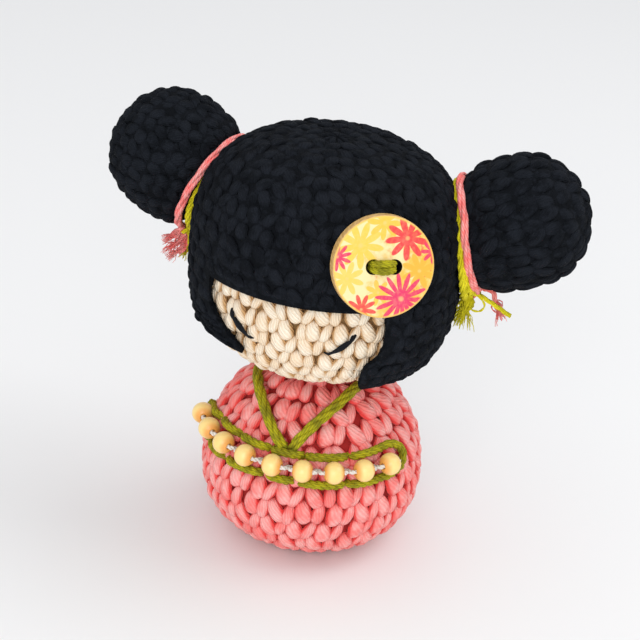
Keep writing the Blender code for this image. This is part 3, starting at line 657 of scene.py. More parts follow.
def tuft(start, way, length, count, spread, draws):
    """Untwisted yarn at a cut end: fibres that open out."""
    shapes = []
    way = unit(np.array(way, float))
    side = unit(np.cross(way, (0.2, 1, 0.3)))
    up = np.cross(way, side)
    share = np.linspace(0, 1, 8)[:, None]
    down = np.array((0, 0, -FIBRE_DROOP)) * share ** 2
    for _ in range(count):
        angle = draws.uniform(0, math.tau)
        lean = (side * math.cos(angle) + up * math.sin(angle)) * spread * math.sqrt(draws.uniform(0, 1))
        curl = (side * draws.normal() + up * draws.normal()) * FIBRE_CURL
        run = way * share + lean * share ** 1.4 + curl * np.sin(share * 5) + down
        path = start + lean * 0.35 * MM + run * length * draws.uniform(0.6, 1.05)
        radii = np.linspace(1, 0.45, len(share)) * FIBRE / 2 * draws.uniform(0.7, 1.2)
        shapes.append(tube(path, radii, 4))
    return shapes


def knot(centre, size, thickness, plies=3):
    """A small overhand knot, as a trefoil."""
    turn = np.linspace(0, math.tau, 48, endpoint=False)
    shape = np.stack((np.sin(turn) + 2 * np.sin(2 * turn), np.cos(turn) - 2 * np.cos(2 * turn), -np.sin(3 * turn)),
                     axis=1) * size / 3
    return plied(centre + shape, thickness, plies, 4 * MM, closed=True)


def closed_up(name, corners, faces):
    """A mesh from corners and faces, with doubled corners merged."""
    mesh = bpy.data.meshes.new(name)
    mesh.from_pydata(np.asarray(corners).tolist(), [], [tuple(face) for face in faces])
    piece = new_object(name, mesh)
    pick(piece)
    bpy.ops.object.mode_set(mode="EDIT")
    bpy.ops.mesh.select_all(action="SELECT")
    bpy.ops.mesh.remove_doubles(threshold=0.02 * MM)
    bpy.ops.mesh.dissolve_degenerate(threshold=0.001 * MM)
    bpy.ops.mesh.delete_loose()
    bpy.ops.object.mode_set(mode="OBJECT")
    return piece


def cut_with(piece, cutter):
    """Cut one object out of another and remove it."""
    apply_modifier(piece, "BOOLEAN", operation="DIFFERENCE", object=cutter)
    bpy.data.objects.remove(cutter)


# Crochet

# The width and the height that a stitch is drawn in, in millimetres, and how far each round starts past the last one
CELL = (6.4, 4.5)
ROUND_SHIFT = 0.3

# How much stitches differ across, up and in slant, as shares of the cell: the whole stitch, then each leg by itself
STRAY_ACROSS = (0.04, 0.035)
STRAY_UP = (0.05, 0.045)
STRAY_SLANT = (0.08, 0.10)

# How much they differ in depth: a share of the whole stitch, then a length for each leg
STRAY_DEPTH = (0.08, 0.10 * MM)

# A leg in the hair is left out where more than this share of it lies over the face
LEFT_OUT = 0.55


def leg(path, widths, thicknesses):
    """One leg of a stitch: a sphere drawn out along a line. Sizes are in millimetres."""
    clear_selection()
    bpy.ops.mesh.primitive_uv_sphere_add(segments=8, ring_count=9, radius=1)
    ball = bpy.context.object
    mesh = ball.data
    corners = np.empty(len(mesh.vertices) * 3)
    mesh.vertices.foreach_get("co", corners)
    corners = corners.reshape(-1, 3)
    share = np.arcsin(np.clip(corners[:, 2], -1, 1)) / math.pi + 0.5
    around = np.arctan2(corners[:, 1], corners[:, 0])
    path = np.array(path, float)
    knots = np.linspace(0, 1, len(path))
    fine = np.linspace(0, 1, 60)
    line = np.stack([smoothed(np.interp(fine, knots, path[:, axis]), 40) for axis in range(3)], axis=1)
    ways = unit(np.gradient(line, axis=0))
    centre = np.stack([np.interp(share, fine, line[:, axis]) for axis in range(3)], axis=1)
    way = unit(np.stack([np.interp(share, fine, ways[:, axis]) for axis in range(3)], axis=1))
    side = unit(np.cross(way, (0, 0, 1)))
    out = np.cross(side, way)
    blunt = np.clip(1 - np.abs(2 * share - 1) ** 6, 0, 1) ** 0.5
    wide = np.interp(share, knots, widths) * blunt
    thick = np.interp(share, knots, thicknesses) * blunt
    shape = centre - side * (wide * np.sin(around))[:, None] - out * (thick * np.cos(around))[:, None]
    spots = []
    for face in mesh.polygons:
        turns = [around[corner] / math.tau % 1 for corner in face.vertices if 0.001 < share[corner] < 0.999]
        turns = [turn + (turn < 0.5 and max(turns) - min(turns) > 0.5) for turn in turns]
        middle = sum(turns) / len(turns)
        spots += [(turns.pop(0) if 0.001 < share[corner] < 0.999 else middle, share[corner])
                  for corner in face.vertices]
    loops = np.array([corner for face in mesh.polygons for corner in face.vertices])
    sizes = np.array([len(face.vertices) for face in mesh.polygons])
    bpy.data.objects.remove(ball)
    bpy.data.meshes.remove(mesh)
    return shape, loops, sizes, np.array(spots)


def stitch_legs(plump=1.0, sunk=0.0, even=0.0):
    """The two legs of one single crochet, in a cell of 6.4 by 4.5 mm. The left one is the fuller.

    Their lower ends lie over the round below, and their upper ends go in under the round above.
    """
    left = ((-0.1, -2.6, -1.0), (-0.5, -1.9, -0.7), (-1.1, -0.6, -0.55), (-1.55, 0.8, -0.65), (-1.75, 1.9, -1.1),
            (-1.85, 2.9, -1.9))
    right = ((0.8, -2.6, -1.15), (1.1, -1.9, -0.85), (1.55, -0.5, -0.68), (1.95, 0.8, -0.78), (2.2, 1.9, -1.25),
             (2.3, 2.9, -2.0))
    wide = np.array((1.2, 1.75, 2.05, 1.95, 1.5, 0.9)) - even * 0.3
    thin = np.array((1.05, 1.4, 1.6, 1.45, 1.0, 0.6)) + even * 0.2
    thick = np.array((0.75, 0.95, 1.05, 1.0, 0.85, 0.7)) * plump
    lower = np.array((0, 0, sunk))
    return leg(np.array(left) - lower, wide, thick), leg(np.array(right) - lower, thin, thick * 0.95)


def row_edges(low, high, height):
    """The edges of rows of about one height that fill a stretch."""
    return np.linspace(low, high, max(1, round((high - low) / height)) + 1)


def worked(fabric, legs, edges, width, draws, keep=None, flip=False, lowest=None, edge=None):
    """Rounds of stitches between the edges of rows along a fabric, as shapes to gather."""
    shapes = []
    for index, (start, end) in enumerate(zip(edges, edges[1:])):
        middle = (start + end) / 2
        reach = fabric.radius(middle) * (fabric.spread[0] + fabric.spread[1]) / 2
        count = max(5, round(math.tau * reach / width))
        stitch = math.tau / count
        for place in range(count):
            azimuth = (place + ROUND_SHIFT * index) * stitch
            nudge = draws.normal(0, 1, 12)
            if keep and not keep(fabric.place(azimuth, middle, 0)):
                continue
            for number, (shape, loops, sizes, spots) in enumerate(legs):
                across = shape[:, 0] / CELL[0] + nudge[0] * STRAY_ACROSS[0] + nudge[number + 4] * STRAY_ACROSS[1]
                up = shape[:, 1] / CELL[1] + nudge[1] * STRAY_UP[0] + nudge[number + 8] * STRAY_UP[1]
                across = across + up * (nudge[2] * STRAY_SLANT[0] + nudge[number + 10] * STRAY_SLANT[1])
                out = shape[:, 2] * MM * (1 + nudge[3] * STRAY_DEPTH[0]) + nudge[number + 6] * STRAY_DEPTH[1]
                if flip:
                    up = -up
                    across = -across
                turn, along = azimuth + across * stitch, middle + up * (end - start)
                if edge:
                    if edge.covers(turn, along) > LEFT_OUT:
                        continue
                    turn, along, out = edge.kept(turn, along, out)
                points = fabric.place(turn, along, out)
                if lowest is not None:
                    points[:, 2] = np.maximum(points[:, 2], lowest)
                shapes.append((points, loops, sizes, spots))
    return shapes


def strips(rings, steps):
    """The faces between rings of corners."""
    ring, step = np.meshgrid(np.arange(rings - 1), np.arange(steps), indexing="ij")
    here, beside = ring * steps + step, ring * steps + (step + 1) % steps
    return np.stack((here, beside, beside + steps, here + steps), axis=-1).reshape(-1, 4)


def backing(fabric, outer, steps=72, rings=40, lowest=None, edge=None):
    """A closed wall behind the stitches, from a depth to the fabric's inside."""
    along = np.linspace(0, fabric.length, rings)[:, None]
    azimuths = np.linspace(0, math.tau, steps, endpoint=False)[None, :]
    if edge:
        along = edge.raised(azimuths, along)
    layers = []
    for depth, lift in ((outer, 0), (FABRIC, 0.3 * MM)):
        grid = fabric.place(azimuths, along, np.full((rings, steps), -depth))
        if lowest is not None:
            grid[:, :, 2] = np.maximum(grid[:, :, 2], lowest + lift)
        layers.append(grid.reshape(-1, 3))
    outside = strips(rings, steps)
    faces = [outside, outside[:, ::-1] + rings * steps]
    first = np.arange(steps)
    second = (first + 1) % steps
    inwards = rings * steps
    if fabric.radius(0) > 0.2 * MM:
        faces.append(np.stack((first + inwards, second + inwards, second, first), axis=-1))
    if fabric.radius(fabric.length) > 0.2 * MM:
        top = (rings - 1) * steps
        faces.append(np.stack((first, second, second + inwards, first + inwards), axis=-1) + top)
    return closed_up("backing", np.concatenate(layers), np.concatenate(faces))


def join_wall(piece, wall):
    """Make the wall behind the stitches part of the piece; its UVs give it the painted shade of the holes."""
    layer = wall.data.uv_layers.new(name="yarn")
    # UVs at a leg's end and underside, so the wall is painted with the shade of the holes.
    layer.data.foreach_set("uv", np.full(len(wall.data.loops) * 2, 0.98, np.float32))
    wall.data.shade_smooth()
    pick(piece)
    wall.select_set(True)
    bpy.ops.object.join()


def open_face(wall):
    """Cut the opening for the face out of the wall behind the hair, a little narrower than the stitches leave it."""
    right, left = [[((across - HAIR_WALL_LAP) * MM, up * MM) for up, across in edge]
                   for edge in (RIGHT_HAIR_EDGE, LEFT_HAIR_EDGE)]
    right = [(right[-1][0], -FRINGE_DROP)] + right[::-1]
    left = [(-across, up) for across, up in left + [(left[-1][0], -FRINGE_DROP)]]
    below = -RIM_DROP - 4 * MM
    outline = right + [(right[-1][0], below), (left[0][0], below)] + left
    mesh = bpy.data.meshes.new("opening")
    mesh.from_pydata([tuple(HEAD_CENTRE + (across, -7 * MM, up)) for across, up in outline], [],
                     [list(range(len(outline)))])
    opening = new_object("opening", mesh)
    pick(opening)
    bpy.ops.object.mode_set(mode="EDIT")
    bpy.ops.mesh.select_all(action="SELECT")
    bpy.ops.mesh.extrude_region_move(TRANSFORM_OT_translate={"value": (0, -30 * MM, 0)})
    bpy.ops.mesh.select_all(action="SELECT")
    bpy.ops.mesh.normals_make_consistent(inside=False)
    bpy.ops.object.mode_set(mode="OBJECT")
    cut_with(wall, opening)
    return wall


def filling(name, fabric, depth, draws, lowest):
    """A lump of fibre that fills a fabric, with a bumpy surface."""
    steps, rings = 40, 28
    bumps = 0.9
    along = np.linspace(0, fabric.length, rings)[:, None]
    azimuths = np.linspace(0, math.tau, steps, endpoint=False)[None, :]
    grid = fabric.place(azimuths, along, -depth - draws.uniform(0, bumps, (rings, steps)) * MM)
    grid[:, :, 2] = np.maximum(grid[:, :, 2], lowest)
    ends = []
    for end, first in ((0, 0), (rings - 1, (rings - 1) * steps)):
        if fabric.radius(along[end, 0]) < depth:
            grid[end] = grid[end].mean(axis=0)
        middle = rings * steps + len(ends) // steps
        for step in range(steps):
            pair = (first + (step + 1) % steps, first + step)
            ends.append((middle, *(pair if end == 0 else pair[::-1])))
    corners = np.concatenate((grid.reshape(-1, 3), [grid[0].mean(axis=0), grid[-1].mean(axis=0)]))
    piece = closed_up(name, corners, [*strips(rings, steps).tolist(), *ends])
    apply_modifier(piece, "SUBSURF", levels=1, render_levels=1)
    layer = piece.data.uv_layers.new(name="yarn")
    layer.data.foreach_set("uv", np.full(len(piece.data.loops) * 2, 0.5, np.float32))
    piece.data.shade_smooth()
    return piece


# Materials


class Value:
    """A socket in a material that takes part in sums."""

    def __init__(self, looks, socket):
        self.looks = looks
        self.socket = socket

    def math(self, operation, other=None):
        sockets = {0: self} if other is None else {0: self, 1: other}
        return self.looks.node("ShaderNodeMath", {"operation": operation}, sockets)

    def __add__(self, other):
        return self.math("ADD", other)

    __radd__ = __add__

    def __mul__(self, other):
        return self.math("MULTIPLY", other)

    __rmul__ = __mul__

    def __sub__(self, other):
        return self.math("SUBTRACT", other)

    def __rsub__(self, other):
        return self.looks.node("ShaderNodeMath", {"operation": "SUBTRACT"}, {0: other, 1: self})

    def __truediv__(self, other):
        return self.math("DIVIDE", other)

    def __pow__(self, other):
        return self.math("POWER", other)

    def between(self, low, high):
        """0 below low, 1 above high and smooth between them."""
        return self.looks.node("ShaderNodeMapRange", {"interpolation_type": "SMOOTHSTEP"},
                               {0: self, 1: low, 2: high, 3: 0.0, 4: 1.0})


class Looks:
    """A material under construction."""

    def __init__(self, name):
        self.material = bpy.data.materials.new(name)
        self.material.use_nodes = True
        self.tree = self.material.node_tree
        self.shader = self.tree.nodes["Principled BSDF"]

    def node(self, kind, settings=None, sockets=None, output=0):
        """Add a node with its settings, then the values or links of its sockets."""
        node = self.tree.nodes.new(kind)
        for key, value in (settings or {}).items():
            setattr(node, key, value)
        for key, value in (sockets or {}).items():
            self.join(node.inputs[key], value)
        return Value(self, node.outputs[output])

    def join(self, socket, value):
        if isinstance(value, Value):
            self.tree.links.new(value.socket, socket)
        elif hasattr(value, "__len__") and len(value) == 3 and socket.type == "RGBA":
            socket.default_value = (*value, 1)
        else:
            socket.default_value = value

    def place(self, stretch=None):
        place = self.node("ShaderNodeTexCoord", output="Object")
        if stretch:
            place = self.node("ShaderNodeMapping", {}, {"Vector": place, "Scale": stretch})
        return place

    def spot(self):
        """The two parts of the UVs."""
        node = self.tree.nodes.new("ShaderNodeSeparateXYZ")
        self.join(node.inputs[0], self.node("ShaderNodeTexCoord", output="UV"))
        return Value(self, node.outputs[0]), Value(self, node.outputs[1])

    def noise(self, vector, scale, detail=2.0, roughness=0.55):
        return self.node("ShaderNodeTexNoise", {},
                         {"Vector": vector, "Scale": scale, "Detail": detail, "Roughness": roughness})

    def mix(self, share, first, second):
        return self.node("ShaderNodeMix", {"data_type": "RGBA"}, {0: share, 6: first, 7: second}, output=2)

    def bump(self, height, strength, distance):
        return self.node("ShaderNodeBump", {}, {"Height": height, "Strength": strength, "Distance": distance})

    def finish(self, **sockets):
        for name, value in sockets.items():
            self.join(self.shader.inputs[name.replace("_", " ")], value)
        return self.material


# The strands that show round one leg of a stitch, and how far they wind round it
LEG_STRANDS = 12.0
LEG_WINDING = 4.2


def crochet_looks(name, yarn, shine=0.25, sheen=0.0, grooves=0.9, fuzz=0.0):
    """Soft plied cotton whose strands run along each leg of a stitch, with painted shade between the strands and legs
    and in the holes.
    """
    light, main, deep = yarn
    looks = Looks(name)
    place = looks.place()
    around, along = looks.spot()
    wander = looks.noise(place, 700.0)
    wound = around * (math.tau * LEG_STRANDS) + along * (math.tau * LEG_WINDING) + wander * 7.0
    strand = wound.math("SINE") * 0.5 + 0.5
    fibre = looks.noise(place, 4200.0, 3.0)
    patch = looks.noise(place, 260.0)
    # Masks for painted shade: the sides and underside of each leg, its ends, and the holes near its ends.
    side = ((around * math.tau).math("COSINE") * 0.5 + 0.5).between(0.03, 0.29)
    from_middle = (along * 2.0 - 1.0).math("ABSOLUTE")
    end = from_middle.between(0.55, 0.95)
    hole = side * from_middle.between(0.86, 0.96)
    colour = looks.mix(patch.between(0.35, 0.65), main, light)
    # Painted shade in the grooves between the strands.
    colour = looks.mix((1 - strand) * 0.26, colour, deep)
    # Painted shade at the sides and ends of each leg, as strong as grooves says.
    colour = looks.mix((1 - (1 - side * grooves) * (1 - end * grooves)).math("MINIMUM", 1.0), colour, deep)
    # Painted shade, darker still, in the holes between the stitches.
    colour = looks.mix(hole * grooves, colour, tuple(0.35 * part for part in deep))
    height = strand * 0.8 + fibre * 0.5
    if fuzz:
        height = height + looks.noise(place, 950.0, 3.0, 0.7) * fuzz
        colour = looks.mix(looks.noise(place, 560.0, 4.0, 0.65).between(0.48, 0.66) * 0.75, colour, light)
    normal = looks.bump(height, 0.8, 0.22 * MM)
    return looks.finish(Base_Color=colour, Roughness=0.85, Sheen_Weight=sheen, Sheen_Roughness=0.5,
                        Specular_IOR_Level=shine, Normal=normal)


def yarn_looks(name, yarn, shine=0.3, fibres=5.0, slant=0.9):
    """Yarn whose plies are in its shape, with fibres that run along each ply and painted shade between the fibres."""
    light, main, deep = yarn
    looks = Looks(name)
    place = looks.place()
    around, along = looks.spot()
    wander = looks.noise(place, 1100.0)
    strand = (around * (math.tau * fibres) + along * (math.tau * slant) + wander * 5.0).math("SINE") * 0.5 + 0.5
    fine = looks.noise(place, 6000.0)
    patch = looks.noise(place, 420.0)
    colour = looks.mix(patch.between(0.35, 0.65), main, light)
    # Painted shade in the grooves between the fibres.
    colour = looks.mix((1 - strand) * 0.5, colour, deep)
    normal = looks.bump(strand * 0.7 + fine * 0.4, 0.6, 0.12 * MM)
    return looks.finish(Base_Color=colour, Roughness=0.8, Specular_IOR_Level=shine, Normal=normal)


def bead_looks(middle, end):
    """Pale varnished wood, darker and warmer towards each end of the hole: painted shade and a painted reflection of
    the pink yarn.
    """
    looks = Looks("bead_beech")
    _, along = looks.spot()
    grain = looks.noise(looks.place(), 380.0, 3.0)
    colour = looks.mix(grain.between(0.35, 0.75) * 0.5, middle, tuple(part ** 1.35 for part in middle))
    # Painted shade and a painted reflection of the pink yarn towards each end of the hole.
    colour = looks.mix((along * 2.0 - 1.0).math("ABSOLUTE").between(0.42, 0.96) * 0.85, colour, end)
    return looks.finish(Base_Color=colour, Roughness=0.38, Coat_Weight=0.35, Coat_Roughness=0.22,
                        Normal=looks.bump(grain, 0.08, 0.1 * MM))


# The shade inside the button's holes, and the colours of its print that aren't a bloom's
BORE_SHADE = (0.012, 0.010, 0.007)
PRINT_GOLD = (0.86, 0.50, 0.06)
PRINT_FLECK = (0.85, 0.16, 0.05)
PRINT_HEART = (0.93, 0.60, 0.20)
PRINT_RIM = (0.90, 0.55, 0.08)


def wood_looks(side):
    """Bare wood with a grain, dark inside the button's holes."""
    looks = Looks("button_beech")
    grain = looks.noise(looks.place((1, 1, 5)), 500.0, 4.0)
    colour = looks.mix(grain.between(0.3, 0.7), tuple(0.75 * part ** 1.3 for part in side), side)
    across, up = looks.spot()
    beside = across.math("ABSOLUTE") - BUTTON_HOLE_REACH / BUTTON_RADIUS
    away = (beside * beside + up * up) ** 0.5
    colour = looks.mix(away.between(0.150, 0.170), BORE_SHADE, colour)
    return looks.finish(Base_Color=colour, Roughness=0.45, Coat_Weight=0.2, Normal=looks.bump(grain, 0.3, 0.1 * MM))


# Each bloom on the button, which is one in radius: across, up, reach, petals, turn, narrowness and colour
BLOOMS = (
    (-0.48, 0.42, 0.46, 9, 0.2, 0.6, (0.88, 0.58, 0.07)),
    (0.70, -0.08, 0.36, 8, 0.5, 0.6, (0.86, 0.44, 0.03)),
    (-0.02, 0.86, 0.34, 8, 0.1, 0.6, (0.88, 0.54, 0.05)),
    (-0.72, -0.22, 0.34, 8, 0.4, 0.6, (0.88, 0.60, 0.10)),
    (-0.10, -0.50, 0.26, 7, 0.0, 0.6, (0.88, 0.54, 0.06)),
    (0.44, 0.56, 0.44, 9, 0.3, 0.6, (0.78, 0.04, 0.045)),
    (0.36, -0.62, 0.52, 14, 0.15, 0.7, (0.76, 0.025, 0.12)),
    (-0.92, 0.20, 0.28, 10, 0.6, 0.6, (0.76, 0.03, 0.12)),
    (-0.42, -0.82, 0.30, 9, 0.3, 0.6, (0.80, 0.06, 0.05)),
    (0.95, 0.30, 0.24, 8, 0.0, 0.6, (0.76, 0.03, 0.11)),
)


def print_looks(ground):
    """Plain daisies, scattered over a pale ground."""
    looks = Looks("button_print")
    across, up = looks.spot()
    place = looks.place()
    patch = looks.noise(place, 330.0, 3.0)
    speck = looks.noise(place, 1500.0, 2.0)
    gold = ((patch - 0.5) * 3.0 + across * 0.55 - up * 0.15 + 0.35).between(0.1, 0.9)
    colour = looks.mix(gold, ground, PRINT_GOLD)
    fleck = looks.noise(place, 900.0, 1.0).between(0.60, 0.66) * gold
    colour = looks.mix(fleck, colour, PRINT_FLECK)
    for x, y, reach, petals, turn, narrow, tint in BLOOMS:
        right, rise = across - x, up - y
        far = (right * right + rise * rise) ** 0.5 / reach
        angle = looks.node("ShaderNodeMath", {"operation": "ARCTAN2"}, {0: rise, 1: right})
        petal = ((angle * petals + turn * math.tau).math("COSINE") * 0.5 + 0.5) ** narrow
        inside = (petal * 0.66 - far + 0.38).between(0.0, 0.08)
        colour = looks.mix(inside * (speck * 0.5 + 0.7).math("MINIMUM", 1.0), colour, tint)
        colour = looks.mix((1 - far.between(0.04, 0.14)) * 0.6, colour, PRINT_HEART)
    edge = (across * across + up * up) ** 0.5
    colour = looks.mix(edge.between(0.94, 0.985), colour, PRINT_RIM)
    return looks.finish(Base_Color=colour, Roughness=0.42, Coat_Weight=0.25, Coat_Roughness=0.25,
                        Normal=looks.bump(speck, 0.12, 0.05 * MM))


def dress(piece, material, body, slot, *nodes):
    """Give a piece its material, its body and the solids that it stands for. Its slot is not used."""
    piece.data.materials.clear()
    piece.data.materials.append(material)
    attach(piece, body)
    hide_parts(*nodes)
    return piece


# Pieces


def make_body(doll):
    fabric = body_fabric()
    height = doll.stitches.body_row
    base = body_radius(0)
    edges = np.concatenate((row_edges(0.2 * MM, base, height)[:-1],
                            row_edges(base, fabric.length - NECK_LENGTH, height), [fabric.length]))
    shapes = worked(fabric, stitch_legs(), edges, doll.stitches.body_stitch, np.random.default_rng(3),
                    lowest=0.05 * MM)
    piece = gather("crocheted_body", shapes)
    join_wall(piece, backing(fabric, BODY_WALL, lowest=0.06 * MM))
    looks = crochet_looks("pink_cotton", doll.colours.yarn("pink"), sheen=0.1)
    dress(piece, looks, "body", "pink_yarn", "body_cover")


def make_face(doll):
    fabric = face_fabric()

    def shown(point):
        """Whether a stitch shows under the hair's rim or in the opening for the face."""
        across, away, up = point - HEAD_CENTRE
        left, right = opening_reach(up)
        hidden = across > right + FACE_LAP or (across < -left - FACE_LAP and up > -LEFT_RIM_DROP + 2 * MM)
        return up < -RIM_DROP + 4 * MM or (away < -6 * MM and up < 4 * MM and abs(across) < 23 * MM and not hidden)

    height = doll.stitches.face_row
    under = fabric.along_at(-HEAD_HEIGHT + 4 * MM)
    fringe = fabric.along_at(-FRINGE_DROP)
    edges = np.concatenate((row_edges(0.2 * MM, under, height)[:-1], row_edges(under, fringe, height),
                            [fringe + height]))
    shapes = worked(fabric, stitch_legs(0.95, 0.05), edges, doll.stitches.face_stitch, np.random.default_rng(5),
                    keep=shown)
    piece = gather("crocheted_head", shapes)
    join_wall(piece, backing(fabric, FACE_WALL))
    looks = crochet_looks("cream_cotton", doll.colours.yarn("cream"))
    dress(piece, looks, "head", "cream_yarn", "head_cover")


def make_hair(doll):
    fabric = hair_fabric()
    draws = np.random.default_rng(7)
    legs = stitch_legs(0.48, 0.0, 1)
    edge = HairEdge(fabric)
    height, width = doll.stitches.hair_row, doll.stitches.hair_stitch
    shapes = worked(fabric, legs, row_edges(0.1 * MM, edge.fringe, height), width, draws, flip=True, edge=edge)
    shapes += worked(fabric, legs, row_edges(edge.fringe, fabric.length, height), width, draws, flip=True, edge=edge)
    piece = gather("crocheted_hair", shapes)
    wall = backing(fabric, HAIR_WALL, steps=96, rings=60, edge=edge)
    join_wall(piece, open_face(wall))
    looks = crochet_looks("black_cotton", doll.colours.yarn("black"), shine=0.05, grooves=0.3, fuzz=4.0)
    dress(piece, looks, "head", "black_yarn", "hair_cap")


def make_buns(doll):
    looks = crochet_looks("black_bun_cotton", doll.colours.yarn("black"), shine=0.05, grooves=0.3, fuzz=4.0)
    for side, name in ((-1, "left"), (1, "right")):
        fabric = Bun(side).fabric()
        edges = row_edges(0.5 * MM, fabric.length, getattr(doll.stitches, f"{name}_bun_row"))
        shapes = worked(fabric, stitch_legs(0.58, 0.0, 1), edges, doll.stitches.hair_stitch,
                        np.random.default_rng(11 + side), flip=True)
        piece = gather(f"{name}_crocheted_bun", shapes)
        join_wall(piece, backing(fabric, HAIR_WALL, steps=56, rings=34))
        dress(piece, looks, f"{name}_bun", "black_yarn", f"{name}_bun_cover")


def make_stuffing(doll):
    looks = crochet_looks("polyester_fibre", doll.colours.yarn("fibre"))
    draws = np.random.default_rng(17)
    inset = FABRIC + CLEARANCE
    fills = [("body", body_fabric(), inset), ("head", face_fabric(), HEAD_SEAT)]
    fills += [(f"{name}_bun", Bun(side).fabric(), 0) for side, name in ((-1, "left"), (1, "right"))]
    for name, fabric, lowest in fills:
        piece = filling(f"{name}_fibre_fill", fabric, inset, draws, lowest)
        dress(piece, looks, name, "stuffing", f"{name}_stuffing")


def make_seams(doll):
    def whipped(name, ring):
        return gather(name, plied(curve_through(ring, 0.4 * MM, True), SEAM_YARN, 2, SEAM_PITCH, True))

    turn = np.linspace(0, math.tau, 96, endpoint=False)
    height = NECK_TOP + SEAM_ROOM / 2 + 0.2 * MM * np.sin(turn * SEAM_WAVES)
    ring = np.stack((NECK_SEAM_RADIUS * np.cos(turn), NECK_SEAM_RADIUS * np.sin(turn), height), axis=1)
    dress(whipped("neck_whip_stitch", ring), yarn_looks("pink_sewing_yarn", doll.colours.yarn("pink")), "neck",
          "pink_yarn", "neck_seam")
    looks = yarn_looks("black_sewing_yarn", doll.colours.yarn("black"), shine=0.06)
    for side, name in ((-1, "left"), (1, "right")):
        bun = Bun(side)
        angles = np.linspace(0, 360, 48, endpoint=False)
        reach = np.full(len(angles), BUN_SEAM_RADIUS)
        lift = SEAM_YARN + 0.15 * MM * np.sin(np.radians(angles) * SEAM_WAVES)
        ring = bun.place(reach, angles, bun.depth(reach, angles) - lift)
        dress(whipped(f"{name}_bun_whip_stitch", ring), looks, "head", "black_yarn", f"{name}_bun_seam")


def make_collar(doll):
    looks = yarn_looks("olive_collar_yarn", doll.colours.yarn("olive"))
    for side, name, places in ((-1, "left", LEFT_COLLAR), (1, "right", RIGHT_COLLAR)):
        points = []
        for (across, up), lift in zip(places, COLLAR_LIFTS):
            height = BODY_EQUATOR + up * MM
            points.append(on_body(side * math.asin(across * MM / body_radius(height)), height, lift * MM))
        piece = gather(f"{name}_collar_yarn", plied(curve_through(points), doll.stitches.collar, 4, COLLAR_PITCH))
        dress(piece, looks, "body", "olive_yarn", f"{name}_collar_stitch")


def bead_azimuth(index):
    """How far round the body a bead lies."""
    row = on_body(0, BEAD_HEIGHT, CLEARANCE + BEAD_RADIUS)
    return ROW_TURN + (index - (BEADS - 1) / 2) * (BEAD_LENGTH + BEAD_SPACING) / math.hypot(row[0], row[1])


def make_sash(doll):
    """One yarn in back stitches above and below the beads, with a loop at each end."""
    points = []

    def sew(turn, over, lift):
        points.append(on_body(math.radians(turn), BEAD_HEIGHT + over * MM, lift * MM))

    for row, loop in ((SASH_OVER, SASH_RIGHT_END), (SASH_UNDER, SASH_LEFT_END)):
        for number, (start, end) in enumerate(zip(row, row[1:])):
            for share, lift in SASH_DIPS:
                if 0.1 < number + share < len(row) - 1.1:
                    sew(start[0] + (end[0] - start[0]) * share, start[1] + (end[1] - start[1]) * share, lift)
        for turn, over in (row[-1], *loop):
            sew(turn, over, SASH_LIFT)
        other = SASH_UNDER if row is SASH_OVER else SASH_OVER
        sew(*other[0], SASH_LIFT)
    yarn = plied(curve_through(points, closed=True), doll.stitches.sash, 3, SASH_PITCH, True)
    piece = gather("sash_back_stitches", yarn)
    dress(piece, yarn_looks("olive_sash_yarn", doll.colours.yarn("olive")), "body", "olive_yarn", "sash_yarn")


def turned_bead():
    """A rounded bead on the Z axis, with its UVs' second part along its hole."""
    half = BEAD_LENGTH / 2
    profile = [(BEAD_BORE, half - 0.25 * MM), (BEAD_BORE + 0.12 * MM, half - 0.05 * MM)]
    for height in np.sin(np.radians(np.linspace(86, -86, 19))):
        profile.append((BEAD_RADIUS * math.sqrt(1 - 0.86 * height ** 2), half * height))
    profile += [(radius, -height) for radius, height in profile[1::-1]]
    count = len(profile)
    mesh = bpy.data.meshes.new("bead")
    mesh.from_pydata([(radius, 0, height) for radius, height in profile],
                     [(each, (each + 1) % count) for each in range(count)], [])
    bead = new_object("bead", mesh)
    pick(bead)
    bpy.ops.object.mode_set(mode="EDIT")
    bpy.ops.mesh.select_all(action="SELECT")
    bpy.ops.mesh.spin(steps=32, angle=math.tau, center=(0, 0, 0), axis=(0, 0, 1))
    bpy.ops.mesh.select_all(action="SELECT")
    bpy.ops.mesh.remove_doubles(threshold=0.005 * MM)
    bpy.ops.mesh.normals_make_consistent(inside=False)
    bpy.ops.object.mode_set(mode="OBJECT")
    mesh.shade_smooth()
    spots = np.array([(mesh.vertices[loop.vertex_index].co.xy.length / BEAD_RADIUS,
                       mesh.vertices[loop.vertex_index].co.z / BEAD_LENGTH + 0.5) for loop in mesh.loops])
    mesh.uv_layers.new(name="yarn").data.foreach_set("uv", spots.astype(np.float32).ravel())
    bpy.data.objects.remove(bead)
    return mesh


def make_beads(doll):
    """Beads that are turned once and copied, and the thread through them."""
    bead = turned_bead()
    looks = bead_looks(tuple(doll.colours.bead), tuple(doll.colours.bead_end))
    points = []
    for index in range(BEADS):
        azimuth = bead_azimuth(index)
        along = np.array((math.cos(azimuth), math.sin(azimuth), 0))
        middle = on_body(azimuth, BEAD_HEIGHT, CLEARANCE + BEAD_RADIUS)
        own = bead.copy()
        own.transform(Matrix.Translation(middle) @ Vector(along).to_track_quat("Z", "Y").to_matrix().to_4x4())
        name = f"bead_{index + 1}"
        dress(new_object(f"turned_{name}", own), looks, name, "bead_wood", name)
        foot = on_body(azimuth, BEAD_HEIGHT, -0.1 * MM)
        reach = BEAD_LENGTH / 2 + 0.45 * MM
        points += [foot - along * (reach + 0.1 * MM), middle - along * reach, middle, middle + along * reach,
                   foot + along * (reach + 0.1 * MM)]
    bpy.data.meshes.remove(bead)
    thread = plied(curve_through(points, 0.25 * MM), doll.stitches.bead_thread, 2, 2.2 * MM)
    piece = gather("bead_sewing_thread", thread)
    dress(piece, yarn_looks("white_sewing_thread", doll.colours.yarn("white"), slant=2.0), "body", "white_thread",
          "bead_thread")


